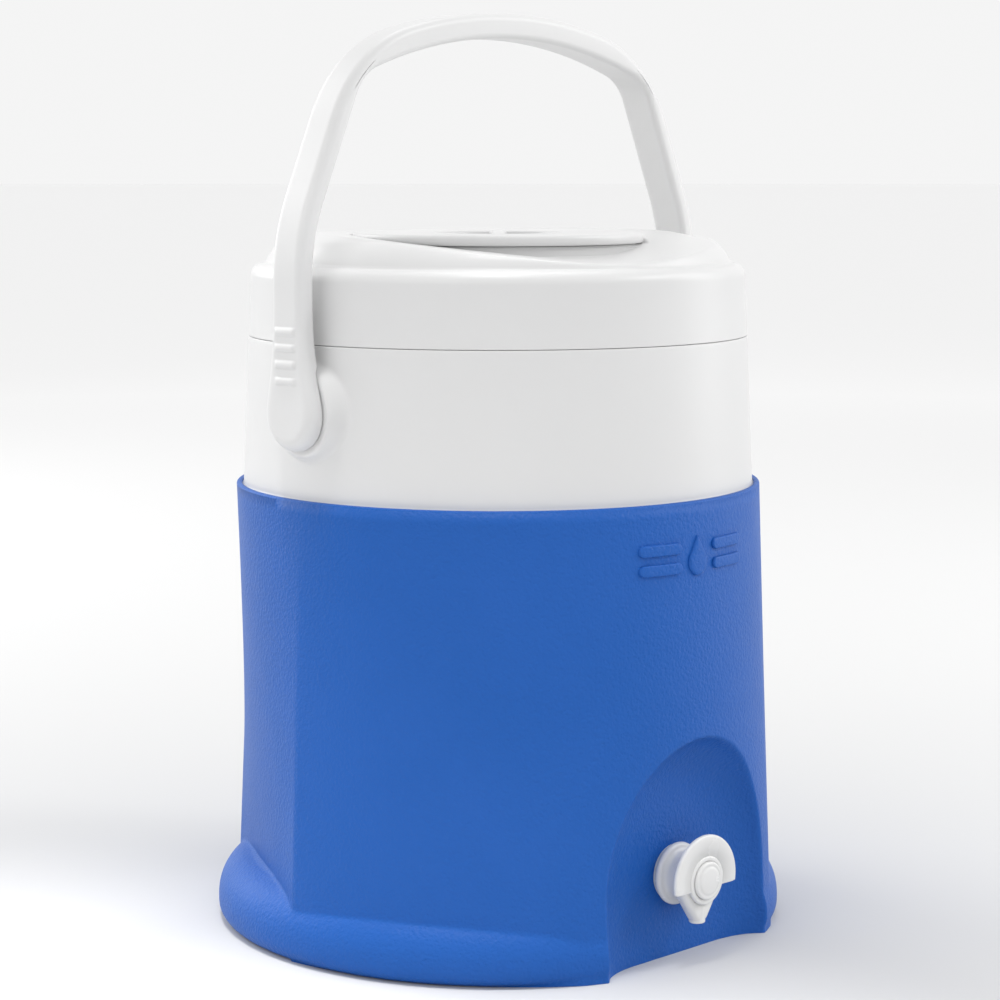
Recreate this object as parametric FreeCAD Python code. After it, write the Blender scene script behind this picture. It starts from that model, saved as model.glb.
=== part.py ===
"""Insulated drink dispenser of about 12 litres: blue shell, white shoulder, screw lid, bail and tap.

Units are millimetres. The origin is the bottom centre of the foot, +Z is up, the tap faces -Y and
+X is to the right of somebody who faces the tap. An azimuth is measured from the tap's side (-Y)
and is positive towards +X.
"""
import FreeCAD, Part
import math
import os

Vector = FreeCAD.Vector

# ---- overall sizes ----
WALL = 3.0                    # moulded wall of the shell, shoulder and lid
CLEAR = 0.3                   # least gap between pieces that move against each other
OPEN = 400.0                  # reach of the tools that cut right through the jug
ARC_MID = 1 - math.sqrt(0.5)  # a quarter round of radius r bulges r * ARC_MID inside its corner

# ---- blue outer shell ----
SHELL_TOP_Z = 240.0
SHELL_TOP_R = 142.4           # round at the top
SHELL_LOW_Z = 20.0            # height at which the low radii below are given
CORNER_LOW_R = 153.0          # at the soft corners, and all round the front and the back
CREASE_LOW_R = 150.5          # at the creases under the handle
FRONT_PANEL_LOW_R = 147.0     # middle of the slightly flattened front-side panels
REAR_PANEL_LOW_R = 133.0      # middle of the flat rear-side panels
FRONT_CORNER_AZ = 29.0
CREASE_AZ = 90.0
REAR_CORNER_AZ = 150.0
FOOT_R = 155.0
FOOT_EDGE = 8.0               # radius of the foot's lower edge
FOOT_STRAIGHT_TOP = 10.0
FOOT_SHOULDER = ((153.3, 20.0), (148.0, 28.5), (141.0, 33.2), (130.0, 35.0))
FOOT_SEAM_AZ = 60.0           # the foot's seam lies clear of the edges between the panels
BODY_START_Z = 12.0           # the body starts inside the foot, above its rounded lower edge
RIM_SOCKET_Z = 228.0          # the shoulder plugs into the shell from here up

# ---- tap alcove ----
ALCOVE_Y = -129.0             # flat back of the alcove
ALCOVE_HALF_W = 62.0
ALCOVE_SPRING_Z = 40.0        # where its sides start to arch
ALCOVE_TOP_Z = 118.0
ALCOVE_FILLET = 14.0

# ---- base, tank and foam ----
BASE_PLATE_Z = 6.0
BASE_PLATE_TOP = 9.0
BASE_PLATE_R = 144.0
BASE_RIB_R = 123.0
BASE_RIB_BOTTOM = 2.0
TANK_R = 118.5
TANK_WALL = 2.5
TANK_FLOOR_Z = 26.0
TANK_CORNER = 6.0             # inner radius between the tank's floor and its wall
TANK_FLANGE_TOP = 315.0
TANK_FLANGE_R = 127.0
NECK_GASKET_TOP = 316.0

# ---- white shoulder ----
SHOULDER_R = 138.5
SHOULDER_TOP_R = 135.0
SHOULDER_TOP_Z = 319.0
NECK_R = 122.5
NECK_TOP_Z = 338.0
PLUG_INNER_R = 136.2          # inner radii of the shoulder: in the socket, above it and at the top
PLUG_SHOULDER_Z = 238.0
SHOULDER_INNER_R = 135.4
SHOULDER_INNER_TOP_R = 132.0

# ---- handle and its pivots ----
PIVOT_Z = 284.5
BOSS_FACE_X = 142.5
BOSS_FACE_R = 20.0
BOSS_ROOT_X = 134.0
BOSS_ROOT_R = 25.0
BUSH_R = 9.0
BUSH_LENGTH = 16.0
CUP_WALL = 3.5                # round the bush, behind each boss
CUP_FLOOR = 2.5
PIN_R = 6.0
PIN_CLEAR = 0.05
PIN_END_X = 149.0             # the pin is pressed into the handle's eye up to here
EYE_R = 19.0
EYE_INNER_X = 142.9
LEG_OUTER_X = 151.5
LEG_INNER_X = 141.3
LEG_HALF_W = 11.5
LEG_BEND_Z = 352.0            # the legs lean in from here up
LEG_BEND_R = 110.0
LEG_LEAN = math.radians(23.0)
HANDLE_TOP_Z = 490.0
CROWN_R = 290.0
GRIP_THICKNESS = 13.5
BAIL_SHOULDER_R = 80.0        # outer radius between a leg and the crown
BAIL_SHOULDER_INNER_R = 25.0
RIDGE_HEIGHTS = (301.5, 310.0, 318.5, 326.5)
RIDGE_HALF_W = 8.0
RIDGE_R = 1.6
RIDGE_PROUD = 1.0

# ---- lid ----
LID_TURN = -15.0              # the lid stops a little short of facing the tap, degrees about +Z
LID_BOTTOM_Z = 319.5
LID_R = 135.0
LID_EDGE_R = 133.5
LID_EDGE_Z = 350.0
LID_EDGE_ROUND = (132.0, 355.2, 127.5, 357.7)
LID_RIM = (125.2, 358.2)      # the rolled rim ends and the dome starts
DOME_MID = (121.6, 364.8, 113.7, 370.6)
DOME_TOP = ((104.0, 374.0), (80.0, 380.0), (0.0, 382.0))
LID_INNER_R = 131.5
LID_INNER_SLOPE = ((123.0, 354.8), (112.0, 367.0), (0.0, 376.0))
SADDLE_Z = 365.75             # height of the valley's floor on the axis
SADDLE_RISE = 0.0448          # the floor rises towards the back
SADDLE_ROUND_HALF_W = 27.0
SADDLE_ROUND_R = 300.0
SADDLE_SIDE_SLOPE = 0.09
LINER_PLATE_Z = 341.3
LINER_PLATE_TOP = 344.3
LINER_LOW_Z = 321.0
GROOVE_INNER_R = 117.2        # groove under the liner plate for the lid gasket
GROOVE_OUTER_R = 124.8
GROOVE_LIP = 3.0
GROOVE_LIP_Z = 335.0
GASKET_BOTTOM_Z = 338.3
GASKET_INNER_R = 117.6
GASKET_OUTER_R = 124.0

# ---- filler cap in the lid ----
SEAT_Z = 368.0
SEAT_R = 80.0
PEDESTAL_R = 76.0
SEAL_GROOVE_DEPTH = 2.0
SEAL_GROOVE_INNER_R = 64.6
SEAL_GROOVE_OUTER_R = 71.4
SEAL_GROOVE_CLEAR = 0.4
CAP_SEAL_BOTTOM_Z = 366.3
CAP_R = 78.5
CAP_BOTTOM_Z = 368.35
CAP_TOP_Z = 373.8
MOUTH_R = 62.0
MOUTH_WALL = 2.5
PLUG_R = 61.5
PLUG_WALL = 2.5
PLUG_BOTTOM_Z = 346.0
GRIP_RECESS_R = 34.0
GRIP_RECESS_FLOOR_Z = 360.0
GRIP_BAR_HALF_W = 3.5
GRIP_BAR_AZ = -45.0

# ---- tap ----
TAP_Z = 43.5
TAP_WASHER = 1.5
FLANGE_R = 16.5
FLANGE_FRONT_Y = -134.0
BARREL_R = 11.8
HEAD_BACK_Y = -142.0
HEAD_FRONT_Y = -150.0
HEAD_R = 16.0
SPOUT_R = 5.5
SPOUT_CENTRE_Z = 25.5
SPOUT_BORE_R = 2.8
SPOUT_BORE_LOW_Z = 10.0
PLATE_R = 23.7
PLATE_LOW_Z = 39.0
PLATE_FRONT_Y = -152.5
RING_R = 12.8
RING_FRONT_Y = -153.0
BUTTON_R = 10.0
BUTTON_FRONT_Y = -155.0
BUTTON_BACK_Y = -150.0
BUTTON_BORE_BACK_Y = -138.0
BUTTON_BOSS_R = 4.2
BUTTON_BOSS_LENGTH = 4.0
SHANK_R = 8.0
SHANK_END_Y = -107.0
WATER_BORE_R = 5.5
STEM_R = 2.2
CLIP_R = 4.5
CLIP_THICKNESS = 1.2
SLIDE_CLEAR = 0.05            # round the button
SHANK_CLEAR = 0.1             # round the shank in the tank's wall
TANK_BOSS_R = 18.0
TANK_BOSS_INNER_Y = -116.5
NUT_R = 15.0
NUT_LENGTH = 7.0
SEAL_R = 7.4
SEAL_THICKNESS = 2.5
SPRING_R = 6.0
SPRING_WIRE_R = 0.6
SPRING_PITCH = 2.7
SPRING_TURNS = 5

# ---- raised emblem on the front ----
EMBLEM_Z = 212.0
EMBLEM_DEPTH = 17.0           # the marks start this far behind the shell's front
EMBLEM_REACH = 40.0
EMBLEM_RELIEF = 1.6
DROP_Z = 209.0                # centre of the drop's round part
DROP_R = 7.0
DROP_TIP_UP = 13.5
BAR_STEP_Z = 10.0
BAR_FROM_X = 15.0
BAR_TO_X = 36.0
BAR_R = 3.0


def outline(start, *steps):
    """Face in the XZ plane: a step (x, z) is a straight side, (mid_x, mid_z, x, z) an arc."""
    here = Vector(start[0], 0, start[1])
    edges = []
    for step in steps + (start,):
        there = Vector(step[-2], 0, step[-1])
        if there.distanceToPoint(here) < 1e-6:
            continue
        if len(step) == 4:
            middle = Vector(step[0], 0, step[1])
            edges.append(Part.Arc(here, middle, there).toShape())
        else:
            edges.append(Part.LineSegment(here, there).toShape())
        here = there
    return Part.Face(Part.Wire(edges))


def turned(start, *steps):
    """Solid of revolution about Z from an outline of (radius, height) steps."""
    return outline(start, *steps).revolve(Vector(0, 0, 0), Vector(0, 0, 1), 360)


def disc(radius, low_z, high_z):
    return Part.makeCylinder(radius, high_z - low_z, Vector(0, 0, low_z))


def ring(inner, outer, low_z, high_z):
    return disc(outer, low_z, high_z).cut(disc(inner, low_z - 1, high_z + 1))


def rod_x(radius, from_x, to_x):
    """Cylinder on the handle's axis."""
    return Part.makeCylinder(radius, to_x - from_x, Vector(from_x, 0, PIVOT_Z), Vector(1, 0, 0))


def rod_y(radius, front_y, back_y):
    """Cylinder on the tap's axis."""
    return Part.makeCylinder(radius, back_y - front_y, Vector(0, front_y, TAP_Z), Vector(0, 1, 0))


def tube_y(inner, outer, front_y, back_y):
    return rod_y(outer, front_y, back_y).cut(rod_y(inner, front_y - 1, back_y + 1))


def mirrored(shape):
    return shape.mirror(Vector(0, 0, 0), Vector(1, 0, 0))


def with_lid_turn(shape):
    turned_shape = shape.copy()
    turned_shape.rotate(Vector(0, 0, 0), Vector(0, 0, 1), LID_TURN)
    return turned_shape


# ---- body of the jug ----

def at_azimuth(radius, azimuth, z):
    angle = math.radians(azimuth)
    return Vector(radius * math.sin(angle), -radius * math.cos(angle), z)


def body_section(z, inset):
    """Closed section of six arcs: front, front panels, rear panels and back."""
    share = (SHELL_TOP_Z - z) / (SHELL_TOP_Z - SHELL_LOW_Z)

    def radius(low_radius):
        return SHELL_TOP_R + share * (low_radius - SHELL_TOP_R) - inset

    corner = radius(CORNER_LOW_R)
    crease = radius(CREASE_LOW_R)
    front_panel = radius(FRONT_PANEL_LOW_R)
    rear_panel = radius(REAR_PANEL_LOW_R)
    front_mid_az = (FRONT_CORNER_AZ + CREASE_AZ) / 2
    rear_mid_az = (CREASE_AZ + REAR_CORNER_AZ) / 2
    stations = [
        (corner, -FRONT_CORNER_AZ, corner, 0.0),
        (corner, FRONT_CORNER_AZ, front_panel, front_mid_az),
        (crease, CREASE_AZ, rear_panel, rear_mid_az),
        (corner, REAR_CORNER_AZ, corner, 180.0),
        (corner, -REAR_CORNER_AZ, rear_panel, -rear_mid_az),
        (crease, -CREASE_AZ, front_panel, -front_mid_az),
    ]
    edges = []
    for index, (start_r, start_az, mid_r, mid_az) in enumerate(stations):
        end_r, end_az = stations[(index + 1) % len(stations)][:2]
        start = at_azimuth(start_r, start_az, z)
        middle = at_azimuth(mid_r, mid_az, z)
        end = at_azimuth(end_r, end_az, z)
        edges.append(Part.Arc(start, middle, end).toShape())
    return Part.Wire(edges)


def body_loft(inset):
    """Body of the jug above the foot, which hides where it starts."""
    sections = [body_section(BODY_START_Z, inset), body_section(SHELL_TOP_Z, inset)]
    return Part.makeLoft(sections, True, True)


def foot_bulge(inset):
    """Rounded foot that stands out below the panels, with its seam turned clear of their edges."""
    (low_mid_r, low_mid_z), (mid_r, mid_z), (high_mid_r, high_mid_z), (top_r, top_z) = FOOT_SHOULDER
    outer_r = FOOT_R - inset
    edge_bulge = FOOT_EDGE * ARC_MID
    foot = turned(
        (0, inset),
        (outer_r - FOOT_EDGE, inset),
        (outer_r - edge_bulge, edge_bulge + inset, outer_r, FOOT_EDGE + inset),
        (outer_r, FOOT_STRAIGHT_TOP),
        (low_mid_r - inset, low_mid_z, mid_r - inset, mid_z - inset / 2),
        (high_mid_r - inset, high_mid_z - inset, top_r - inset, top_z - inset),
        (0, top_z - inset),
    )
    foot.rotate(Vector(0, 0, 0), Vector(0, 0, 1), FOOT_SEAM_AZ)
    return foot


def alcove(grow):
    """Arched pocket for the tap, open to the front and the floor, with its back edge rounded."""
    half_w = ALCOVE_HALF_W + grow
    top_rise = ALCOVE_TOP_Z + grow - ALCOVE_SPRING_Z
    back_y = ALCOVE_Y + grow
    depth = 80.0
    low_z = -10.0
    centre = Vector(0, back_y, ALCOVE_SPRING_Z)
    ellipse = Part.Ellipse(centre + Vector(0, 0, top_rise), centre + Vector(half_w, 0, 0), centre)
    half = Part.ArcOfEllipse(ellipse, -math.pi / 2, math.pi / 2).toShape()
    left_top = Vector(-half_w, back_y, ALCOVE_SPRING_Z)
    right_top = Vector(half_w, back_y, ALCOVE_SPRING_Z)
    left_low = Vector(-half_w, back_y, low_z)
    right_low = Vector(half_w, back_y, low_z)
    sides = Part.makePolygon([left_top, left_low, right_low, right_top])
    face = Part.Face(Part.Wire(Part.__sortEdges__([half] + sides.Edges)))
    block = face.extrude(Vector(0, -depth, 0))
    rounded = [
        edge for edge in block.Edges
        if abs(edge.BoundBox.YMin - back_y) < 1e-3 and abs(edge.BoundBox.YMax - back_y) < 1e-3
        and edge.BoundBox.ZMax > low_z + 1
    ]
    return block.makeFillet(ALCOVE_FILLET + grow, rounded)


def emblem_faces():
    """Outlines of a drop between two pairs of bars, in the XZ plane."""
    lean = math.asin(DROP_R / DROP_TIP_UP)
    touch_x = DROP_R * math.cos(lean)
    touch_z = DROP_Z + DROP_R * math.sin(lean)
    drop = outline(
        (0, DROP_Z + DROP_TIP_UP),
        (touch_x, touch_z),
        (0, DROP_Z - DROP_R, -touch_x, touch_z),
    )
    faces = [drop]
    for side in (-1, 1):
        for step in (-1, 1):
            z = EMBLEM_Z + step * BAR_STEP_Z / 2
            low_x = min(side * BAR_FROM_X, side * BAR_TO_X)
            high_x = max(side * BAR_FROM_X, side * BAR_TO_X)
            faces.append(outline(
                (low_x, z - BAR_R),
                (high_x, z - BAR_R),
                (high_x + BAR_R, z, high_x, z + BAR_R),
                (low_x, z + BAR_R),
                (low_x - BAR_R, z, low_x, z - BAR_R),
            ))
    return faces


def emblem():
    """Raised marks that follow the round front of the shell."""
    start = Vector(0, EMBLEM_DEPTH - SHELL_TOP_R, 0)
    reach = Vector(0, -EMBLEM_REACH, 0)
    marks = [face.translated(start).extrude(reach) for face in emblem_faces()]
    return marks[0].multiFuse(marks[1:]).common(body_loft(-EMBLEM_RELIEF))


def shell_room():
    """Space inside the shell above the base plate and below the shoulder's socket."""
    room = body_loft(WALL).fuse(foot_bulge(WALL))
    room = room.cut(alcove(WALL))
    return room.common(disc(OPEN, BASE_PLATE_TOP, RIM_SOCKET_Z))


def outer_shell():
    solid = body_loft(0).fuse(foot_bulge(0)).fuse(emblem())
    solid = solid.cut(alcove(0))
    solid = solid.cut(shell_room().fuse(base_room(-1, BASE_PLATE_TOP)))
    socket_r = SHELL_TOP_R - WALL
    solid = solid.cut(disc(socket_r, RIM_SOCKET_Z, SHELL_TOP_Z + 1))
    return solid.cut(rod_y(SHANK_R + CLEAR, ALCOVE_Y - 10, ALCOVE_Y + 20))


def base_room(low_z, high_z):
    """Round opening in the underside, flat behind the tap."""
    box = Part.makeBox(2 * OPEN, OPEN, high_z - low_z, Vector(-OPEN, ALCOVE_Y + WALL, low_z))
    return disc(BASE_PLATE_R, low_z, high_z).common(box)


def base_plate():
    plate = base_room(BASE_PLATE_Z, BASE_PLATE_TOP)
    rib = ring(BASE_RIB_R - WALL, BASE_RIB_R, BASE_RIB_BOTTOM, BASE_PLATE_Z + 0.5)
    return plate.fuse(rib).removeSplitter()


# ---- tank and insulation ----

def tank_solid():
    """The tank as if it were solid, with its flange and the flat boss for the tap."""
    outer_r = TANK_R + TANK_WALL
    low_z = TANK_FLOOR_Z - TANK_WALL
    corner = TANK_CORNER + TANK_WALL
    bulge = corner * ARC_MID
    solid = turned(
        (0, low_z),
        (outer_r - corner, low_z),
        (outer_r - bulge, low_z + bulge, outer_r, low_z + corner),
        (outer_r, TANK_FLANGE_TOP - TANK_WALL),
        (TANK_FLANGE_R, TANK_FLANGE_TOP - TANK_WALL),
        (TANK_FLANGE_R, TANK_FLANGE_TOP),
        (0, TANK_FLANGE_TOP),
    )
    boss = rod_y(TANK_BOSS_R, ALCOVE_Y + WALL, TANK_BOSS_INNER_Y)
    return solid.fuse(boss.common(disc(OPEN, low_z, OPEN)))


def tank_room():
    """Where the drink goes."""
    bulge = TANK_CORNER * ARC_MID
    room = turned(
        (0, TANK_FLOOR_Z),
        (TANK_R - TANK_CORNER, TANK_FLOOR_Z),
        (TANK_R - bulge, TANK_FLOOR_Z + bulge, TANK_R, TANK_FLOOR_Z + TANK_CORNER),
        (TANK_R, TANK_FLANGE_TOP + 1),
        (0, TANK_FLANGE_TOP + 1),
    )
    return room.cut(rod_y(TANK_BOSS_R, ALCOVE_Y + WALL, TANK_BOSS_INNER_Y))


def inner_liner():
    solid = tank_solid().cut(tank_room())
    return solid.cut(rod_y(SHANK_R + SHANK_CLEAR, ALCOVE_Y - 5, TANK_BOSS_INNER_Y + 5))


def neck_gasket():
    return ring(TANK_R, TANK_FLANGE_R, TANK_FLANGE_TOP, NECK_GASKET_TOP)


def foam_body():
    upper = turned(
        (0, RIM_SOCKET_Z),
        (PLUG_INNER_R, RIM_SOCKET_Z),
        (PLUG_INNER_R, PLUG_SHOULDER_Z),
        (SHOULDER_INNER_R, SHELL_TOP_Z),
        (SHOULDER_INNER_TOP_R + 0.1, TANK_FLANGE_TOP - TANK_WALL),
        (0, TANK_FLANGE_TOP - TANK_WALL),
    )
    foam = shell_room().fuse(upper).cut(tank_solid())
    for cup in (pivot_cup(), mirrored(pivot_cup())):
        foam = foam.cut(cup)
    return foam.removeSplitter()


# ---- white shoulder ----

def pivot_cup():
    """Closed cup behind each boss, which holds the bush."""
    return rod_x(BUSH_R + CUP_WALL, BOSS_FACE_X - BUSH_LENGTH - CUP_FLOOR, BOSS_ROOT_X + 3)


def shoulder_collar():
    solid = turned(
        (PLUG_INNER_R, RIM_SOCKET_Z),
        (SHELL_TOP_R - WALL, RIM_SOCKET_Z),
        (SHELL_TOP_R - WALL, SHELL_TOP_Z - 1.2),
        (SHOULDER_R, SHELL_TOP_Z),
        (SHOULDER_TOP_R + 0.1, SHOULDER_TOP_Z - 1.2),
        (SHOULDER_TOP_R - 0.3, SHOULDER_TOP_Z - 0.3, SHOULDER_TOP_R - 1.2, SHOULDER_TOP_Z),
        (NECK_R, SHOULDER_TOP_Z),
        (NECK_R, NECK_TOP_Z - 1),
        (NECK_R - 0.3, NECK_TOP_Z - 0.3, NECK_R - 1, NECK_TOP_Z),
        (TANK_R, NECK_TOP_Z),
        (TANK_R, NECK_GASKET_TOP),
        (SHOULDER_INNER_TOP_R, NECK_GASKET_TOP),
        (SHOULDER_INNER_R, SHELL_TOP_Z),
        (PLUG_INNER_R, PLUG_SHOULDER_Z),
    )
    boss = Part.makeCone(
        BOSS_ROOT_R, BOSS_FACE_R, BOSS_FACE_X - BOSS_ROOT_X,
        Vector(BOSS_ROOT_X, 0, PIVOT_Z), Vector(1, 0, 0),
    )
    inside = turned(
        (0, RIM_SOCKET_Z),
        (PLUG_INNER_R, RIM_SOCKET_Z),
        (SHOULDER_INNER_R, SHELL_TOP_Z),
        (SHOULDER_INNER_TOP_R, NECK_GASKET_TOP),
        (0, NECK_GASKET_TOP),
    )
    boss = boss.cut(inside).fuse(pivot_cup())
    hole = rod_x(BUSH_R, BOSS_FACE_X - BUSH_LENGTH, BOSS_FACE_X + 1)
    for part in (boss, mirrored(boss)):
        solid = solid.fuse(part)
    for part in (hole, mirrored(hole)):
        solid = solid.cut(part)
    return solid.removeSplitter()


def pivot_bush():
    start = BOSS_FACE_X - BUSH_LENGTH
    return rod_x(BUSH_R, start, BOSS_FACE_X).cut(rod_x(PIN_R + PIN_CLEAR, start - 1, BOSS_FACE_X + 1))


def pivot_pin():
    return rod_x(PIN_R, BOSS_FACE_X - BUSH_LENGTH + 1, PIN_END_X)


# ---- handle ----

def in_plane(angle):
    """Direction in the XZ plane at an angle above +X."""
    return Vector(math.cos(angle), 0, math.sin(angle))


def bail_edge(leg_x, shoulder_r, top_z, crown_r, low_z):
    """One edge of the bail seen from the front, with its legs, bends, shoulders and crown all tangent."""
    outward = in_plane(LEG_LEAN)
    bend_start = Vector(leg_x, 0, LEG_BEND_Z)
    bend_r = LEG_BEND_R - (LEG_OUTER_X - leg_x)
    bend_centre = bend_start - Vector(bend_r, 0, 0)
    bend_end = bend_centre + outward * bend_r
    crown_centre = Vector(0, 0, top_z - crown_r)
    reach = crown_r - shoulder_r
    from_leg = outward.dot(bend_end - crown_centre) - shoulder_r
    crown_angle = math.pi / 2 + LEG_LEAN - math.asin(from_leg / reach)
    shoulder_centre = crown_centre + in_plane(crown_angle) * reach
    shoulder_start = shoulder_centre + outward * shoulder_r
    shoulder_mid = shoulder_centre + in_plane((LEG_LEAN + crown_angle) / 2) * shoulder_r
    shoulder_end = shoulder_centre + in_plane(crown_angle) * shoulder_r
    right = [
        Part.makeLine(Vector(leg_x, 0, low_z), bend_start),
        Part.Arc(bend_start, bend_centre + in_plane(LEG_LEAN / 2) * bend_r, bend_end).toShape(),
        Part.makeLine(bend_end, shoulder_start),
        Part.Arc(shoulder_start, shoulder_mid, shoulder_end).toShape(),
    ]
    crown_end = Vector(-shoulder_end.x, 0, shoulder_end.z)
    crown = Part.Arc(shoulder_end, Vector(0, 0, top_z), crown_end).toShape()
    return right + [crown] + [mirrored(edge) for edge in right]


def bail_side_view():
    """Outline of the bail seen along its pivots: round eyes, then legs that narrow to the grip."""
    narrow_z = PIVOT_Z + 55
    waist_z = PIVOT_Z + 28
    waist = LEG_HALF_W + 2.6
    top_z = HANDLE_TOP_Z + 5
    face = outline(
        (LEG_HALF_W, top_z),
        (LEG_HALF_W, narrow_z),
        (waist, waist_z, EYE_R, PIVOT_Z),
        (0, PIVOT_Z - EYE_R, -EYE_R, PIVOT_Z),
        (-waist, waist_z, -LEG_HALF_W, narrow_z),
        (-LEG_HALF_W, top_z),
    )
    face.rotate(Vector(0, 0, 0), Vector(0, 0, 1), 90)
    return face.translated(Vector(-OPEN, 0, 0)).extrude(Vector(2 * OPEN, 0, 0))


def handle():
    low_z = PIVOT_Z - EYE_R - 1
    outer = bail_edge(LEG_OUTER_X, BAIL_SHOULDER_R, HANDLE_TOP_Z, CROWN_R, low_z)
    inner_top_z = HANDLE_TOP_Z - GRIP_THICKNESS
    inner = bail_edge(LEG_INNER_X, BAIL_SHOULDER_INNER_R, inner_top_z, CROWN_R - GRIP_THICKNESS, low_z)
    ends = [
        Part.makeLine(Vector(side * LEG_INNER_X, 0, low_z), Vector(side * LEG_OUTER_X, 0, low_z))
        for side in (-1, 1)
    ]
    front = Part.Face(Part.Wire(Part.__sortEdges__(outer + inner + ends)))
    bail = front.translated(Vector(0, -40, 0)).extrude(Vector(0, 80, 0)).common(bail_side_view())
    relief = rod_x(EYE_R + 3, LEG_INNER_X - 5, EYE_INNER_X)
    socket = rod_x(PIN_R, EYE_INNER_X - 5, PIN_END_X)
    for side_cut in (relief, mirrored(relief), socket, mirrored(socket)):
        bail = bail.cut(side_cut)
    ridge_x = LEG_OUTER_X + RIDGE_PROUD - RIDGE_R
    for z in RIDGE_HEIGHTS:
        start = Vector(ridge_x, -RIDGE_HALF_W, z)
        ridge = Part.makeCylinder(RIDGE_R, 2 * RIDGE_HALF_W, start, Vector(0, 1, 0))
        bail = bail.fuse(ridge).fuse(mirrored(ridge))
    return bail


# ---- lid ----

def above_saddle(lift):
    """Everything above the valley in the lid's top, raised by lift."""
    half_w = 160.0
    depth = 170.0
    top_z = 430.0
    round_rise = SADDLE_ROUND_R - math.sqrt(SADDLE_ROUND_R ** 2 - SADDLE_ROUND_HALF_W ** 2)
    edge_rise = round_rise + SADDLE_SIDE_SLOPE * (half_w - SADDLE_ROUND_HALF_W)
    floor_z = SADDLE_Z + lift
    valley = outline(
        (-half_w, floor_z + edge_rise),
        (-SADDLE_ROUND_HALF_W, floor_z + round_rise),
        (0, floor_z, SADDLE_ROUND_HALF_W, floor_z + round_rise),
        (half_w, floor_z + edge_rise),
        (half_w, top_z),
        (-half_w, top_z),
    )
    valley.translate(Vector(0, -depth, -SADDLE_RISE * depth))
    return valley.extrude(Vector(0, 2 * depth, 2 * SADDLE_RISE * depth))


def lid_room(low_z):
    """Space inside the lid above low_z: it stays a wall's thickness under the valley and the seat."""
    room = turned(
        (0, low_z),
        (LID_INNER_R, low_z),
        (LID_INNER_R, LID_EDGE_Z),
        *LID_INNER_SLOPE,
    )
    under_seat = disc(SEAT_R + MOUTH_WALL, SEAT_Z - SEAL_GROOVE_DEPTH - MOUTH_WALL, OPEN)
    return room.cut(above_saddle(-WALL)).cut(under_seat)


def lid_shell():
    dome = turned(
        (0, LID_BOTTOM_Z),
        (LID_R - 1, LID_BOTTOM_Z),
        (LID_R - 0.3, LID_BOTTOM_Z + 0.3, LID_R, LID_BOTTOM_Z + 1),
        (LID_EDGE_R, LID_EDGE_Z),
        LID_EDGE_ROUND,
        LID_RIM,
        DOME_MID,
        *DOME_TOP,
    )
    dome = dome.cut(above_saddle(0))
    dome = dome.fuse(disc(PEDESTAL_R, LID_EDGE_Z, SEAT_Z)).cut(disc(SEAT_R, SEAT_Z, OPEN))
    mouth_wall = disc(MOUTH_R + MOUTH_WALL, LINER_PLATE_Z, OPEN)
    shell = dome.cut(lid_room(LID_BOTTOM_Z - 1).cut(mouth_wall))
    shell = shell.cut(disc(MOUTH_R, LID_BOTTOM_Z - 1, OPEN))
    return shell.cut(ring(SEAL_GROOVE_INNER_R, SEAL_GROOVE_OUTER_R, SEAT_Z - SEAL_GROOVE_DEPTH, SEAT_Z + 1))


def lid_foam():
    return lid_room(LINER_PLATE_TOP).cut(disc(MOUTH_R + MOUTH_WALL, LINER_PLATE_Z, OPEN))


def lid_liner():
    """Inner lining of the lid: its skirt, the groove for the gasket and the plate round the mouth."""
    lip_r = GROOVE_INNER_R - GROOVE_LIP
    return turned(
        (MOUTH_R + MOUTH_WALL, LINER_PLATE_Z),
        (MOUTH_R + MOUTH_WALL, LINER_PLATE_TOP),
        (LID_INNER_R, LINER_PLATE_TOP),
        (LID_INNER_R, LINER_LOW_Z),
        (GROOVE_OUTER_R, LINER_LOW_Z),
        (GROOVE_OUTER_R, LINER_PLATE_Z),
        (GROOVE_INNER_R, LINER_PLATE_Z),
        (GROOVE_INNER_R, GROOVE_LIP_Z),
        (lip_r, GROOVE_LIP_Z),
        (lip_r, LINER_PLATE_Z),
    )


def lid_gasket():
    return ring(GASKET_INNER_R, GASKET_OUTER_R, GASKET_BOTTOM_Z, LINER_PLATE_Z - CLEAR)


def grip_recess():
    """Round pocket with a bar left standing across it."""
    pocket = disc(GRIP_RECESS_R, GRIP_RECESS_FLOOR_Z, CAP_TOP_Z + 5)
    bar_start = Vector(-GRIP_BAR_HALF_W, -CAP_R, PLUG_BOTTOM_Z)
    bar = Part.makeBox(2 * GRIP_BAR_HALF_W, 2 * CAP_R, CAP_TOP_Z + 6 - PLUG_BOTTOM_Z, bar_start)
    bar.rotate(Vector(0, 0, 0), Vector(0, 0, 1), GRIP_BAR_AZ - LID_TURN)
    return pocket.cut(bar)


def pocket_wall():
    """Outside of the cup that hangs below the grip recess."""
    return disc(GRIP_RECESS_R + PLUG_WALL, GRIP_RECESS_FLOOR_Z - PLUG_WALL, CAP_BOTTOM_Z + 1)


def filler_cap():
    cap = turned(
        (0, CAP_BOTTOM_Z),
        (CAP_R - 0.8, CAP_BOTTOM_Z),
        (CAP_R, CAP_BOTTOM_Z + 0.8),
        (CAP_R, CAP_TOP_Z - 2),
        (CAP_R - 0.6, CAP_TOP_Z - 0.6, CAP_R - 2, CAP_TOP_Z),
        (0, CAP_TOP_Z),
    )
    plug = ring(PLUG_R - PLUG_WALL, PLUG_R, PLUG_BOTTOM_Z, CAP_BOTTOM_Z + 1)
    return cap.fuse(plug).fuse(pocket_wall()).cut(grip_recess())


def cap_liner():
    return disc(PLUG_R - PLUG_WALL, PLUG_BOTTOM_Z, PLUG_BOTTOM_Z + PLUG_WALL)


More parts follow.
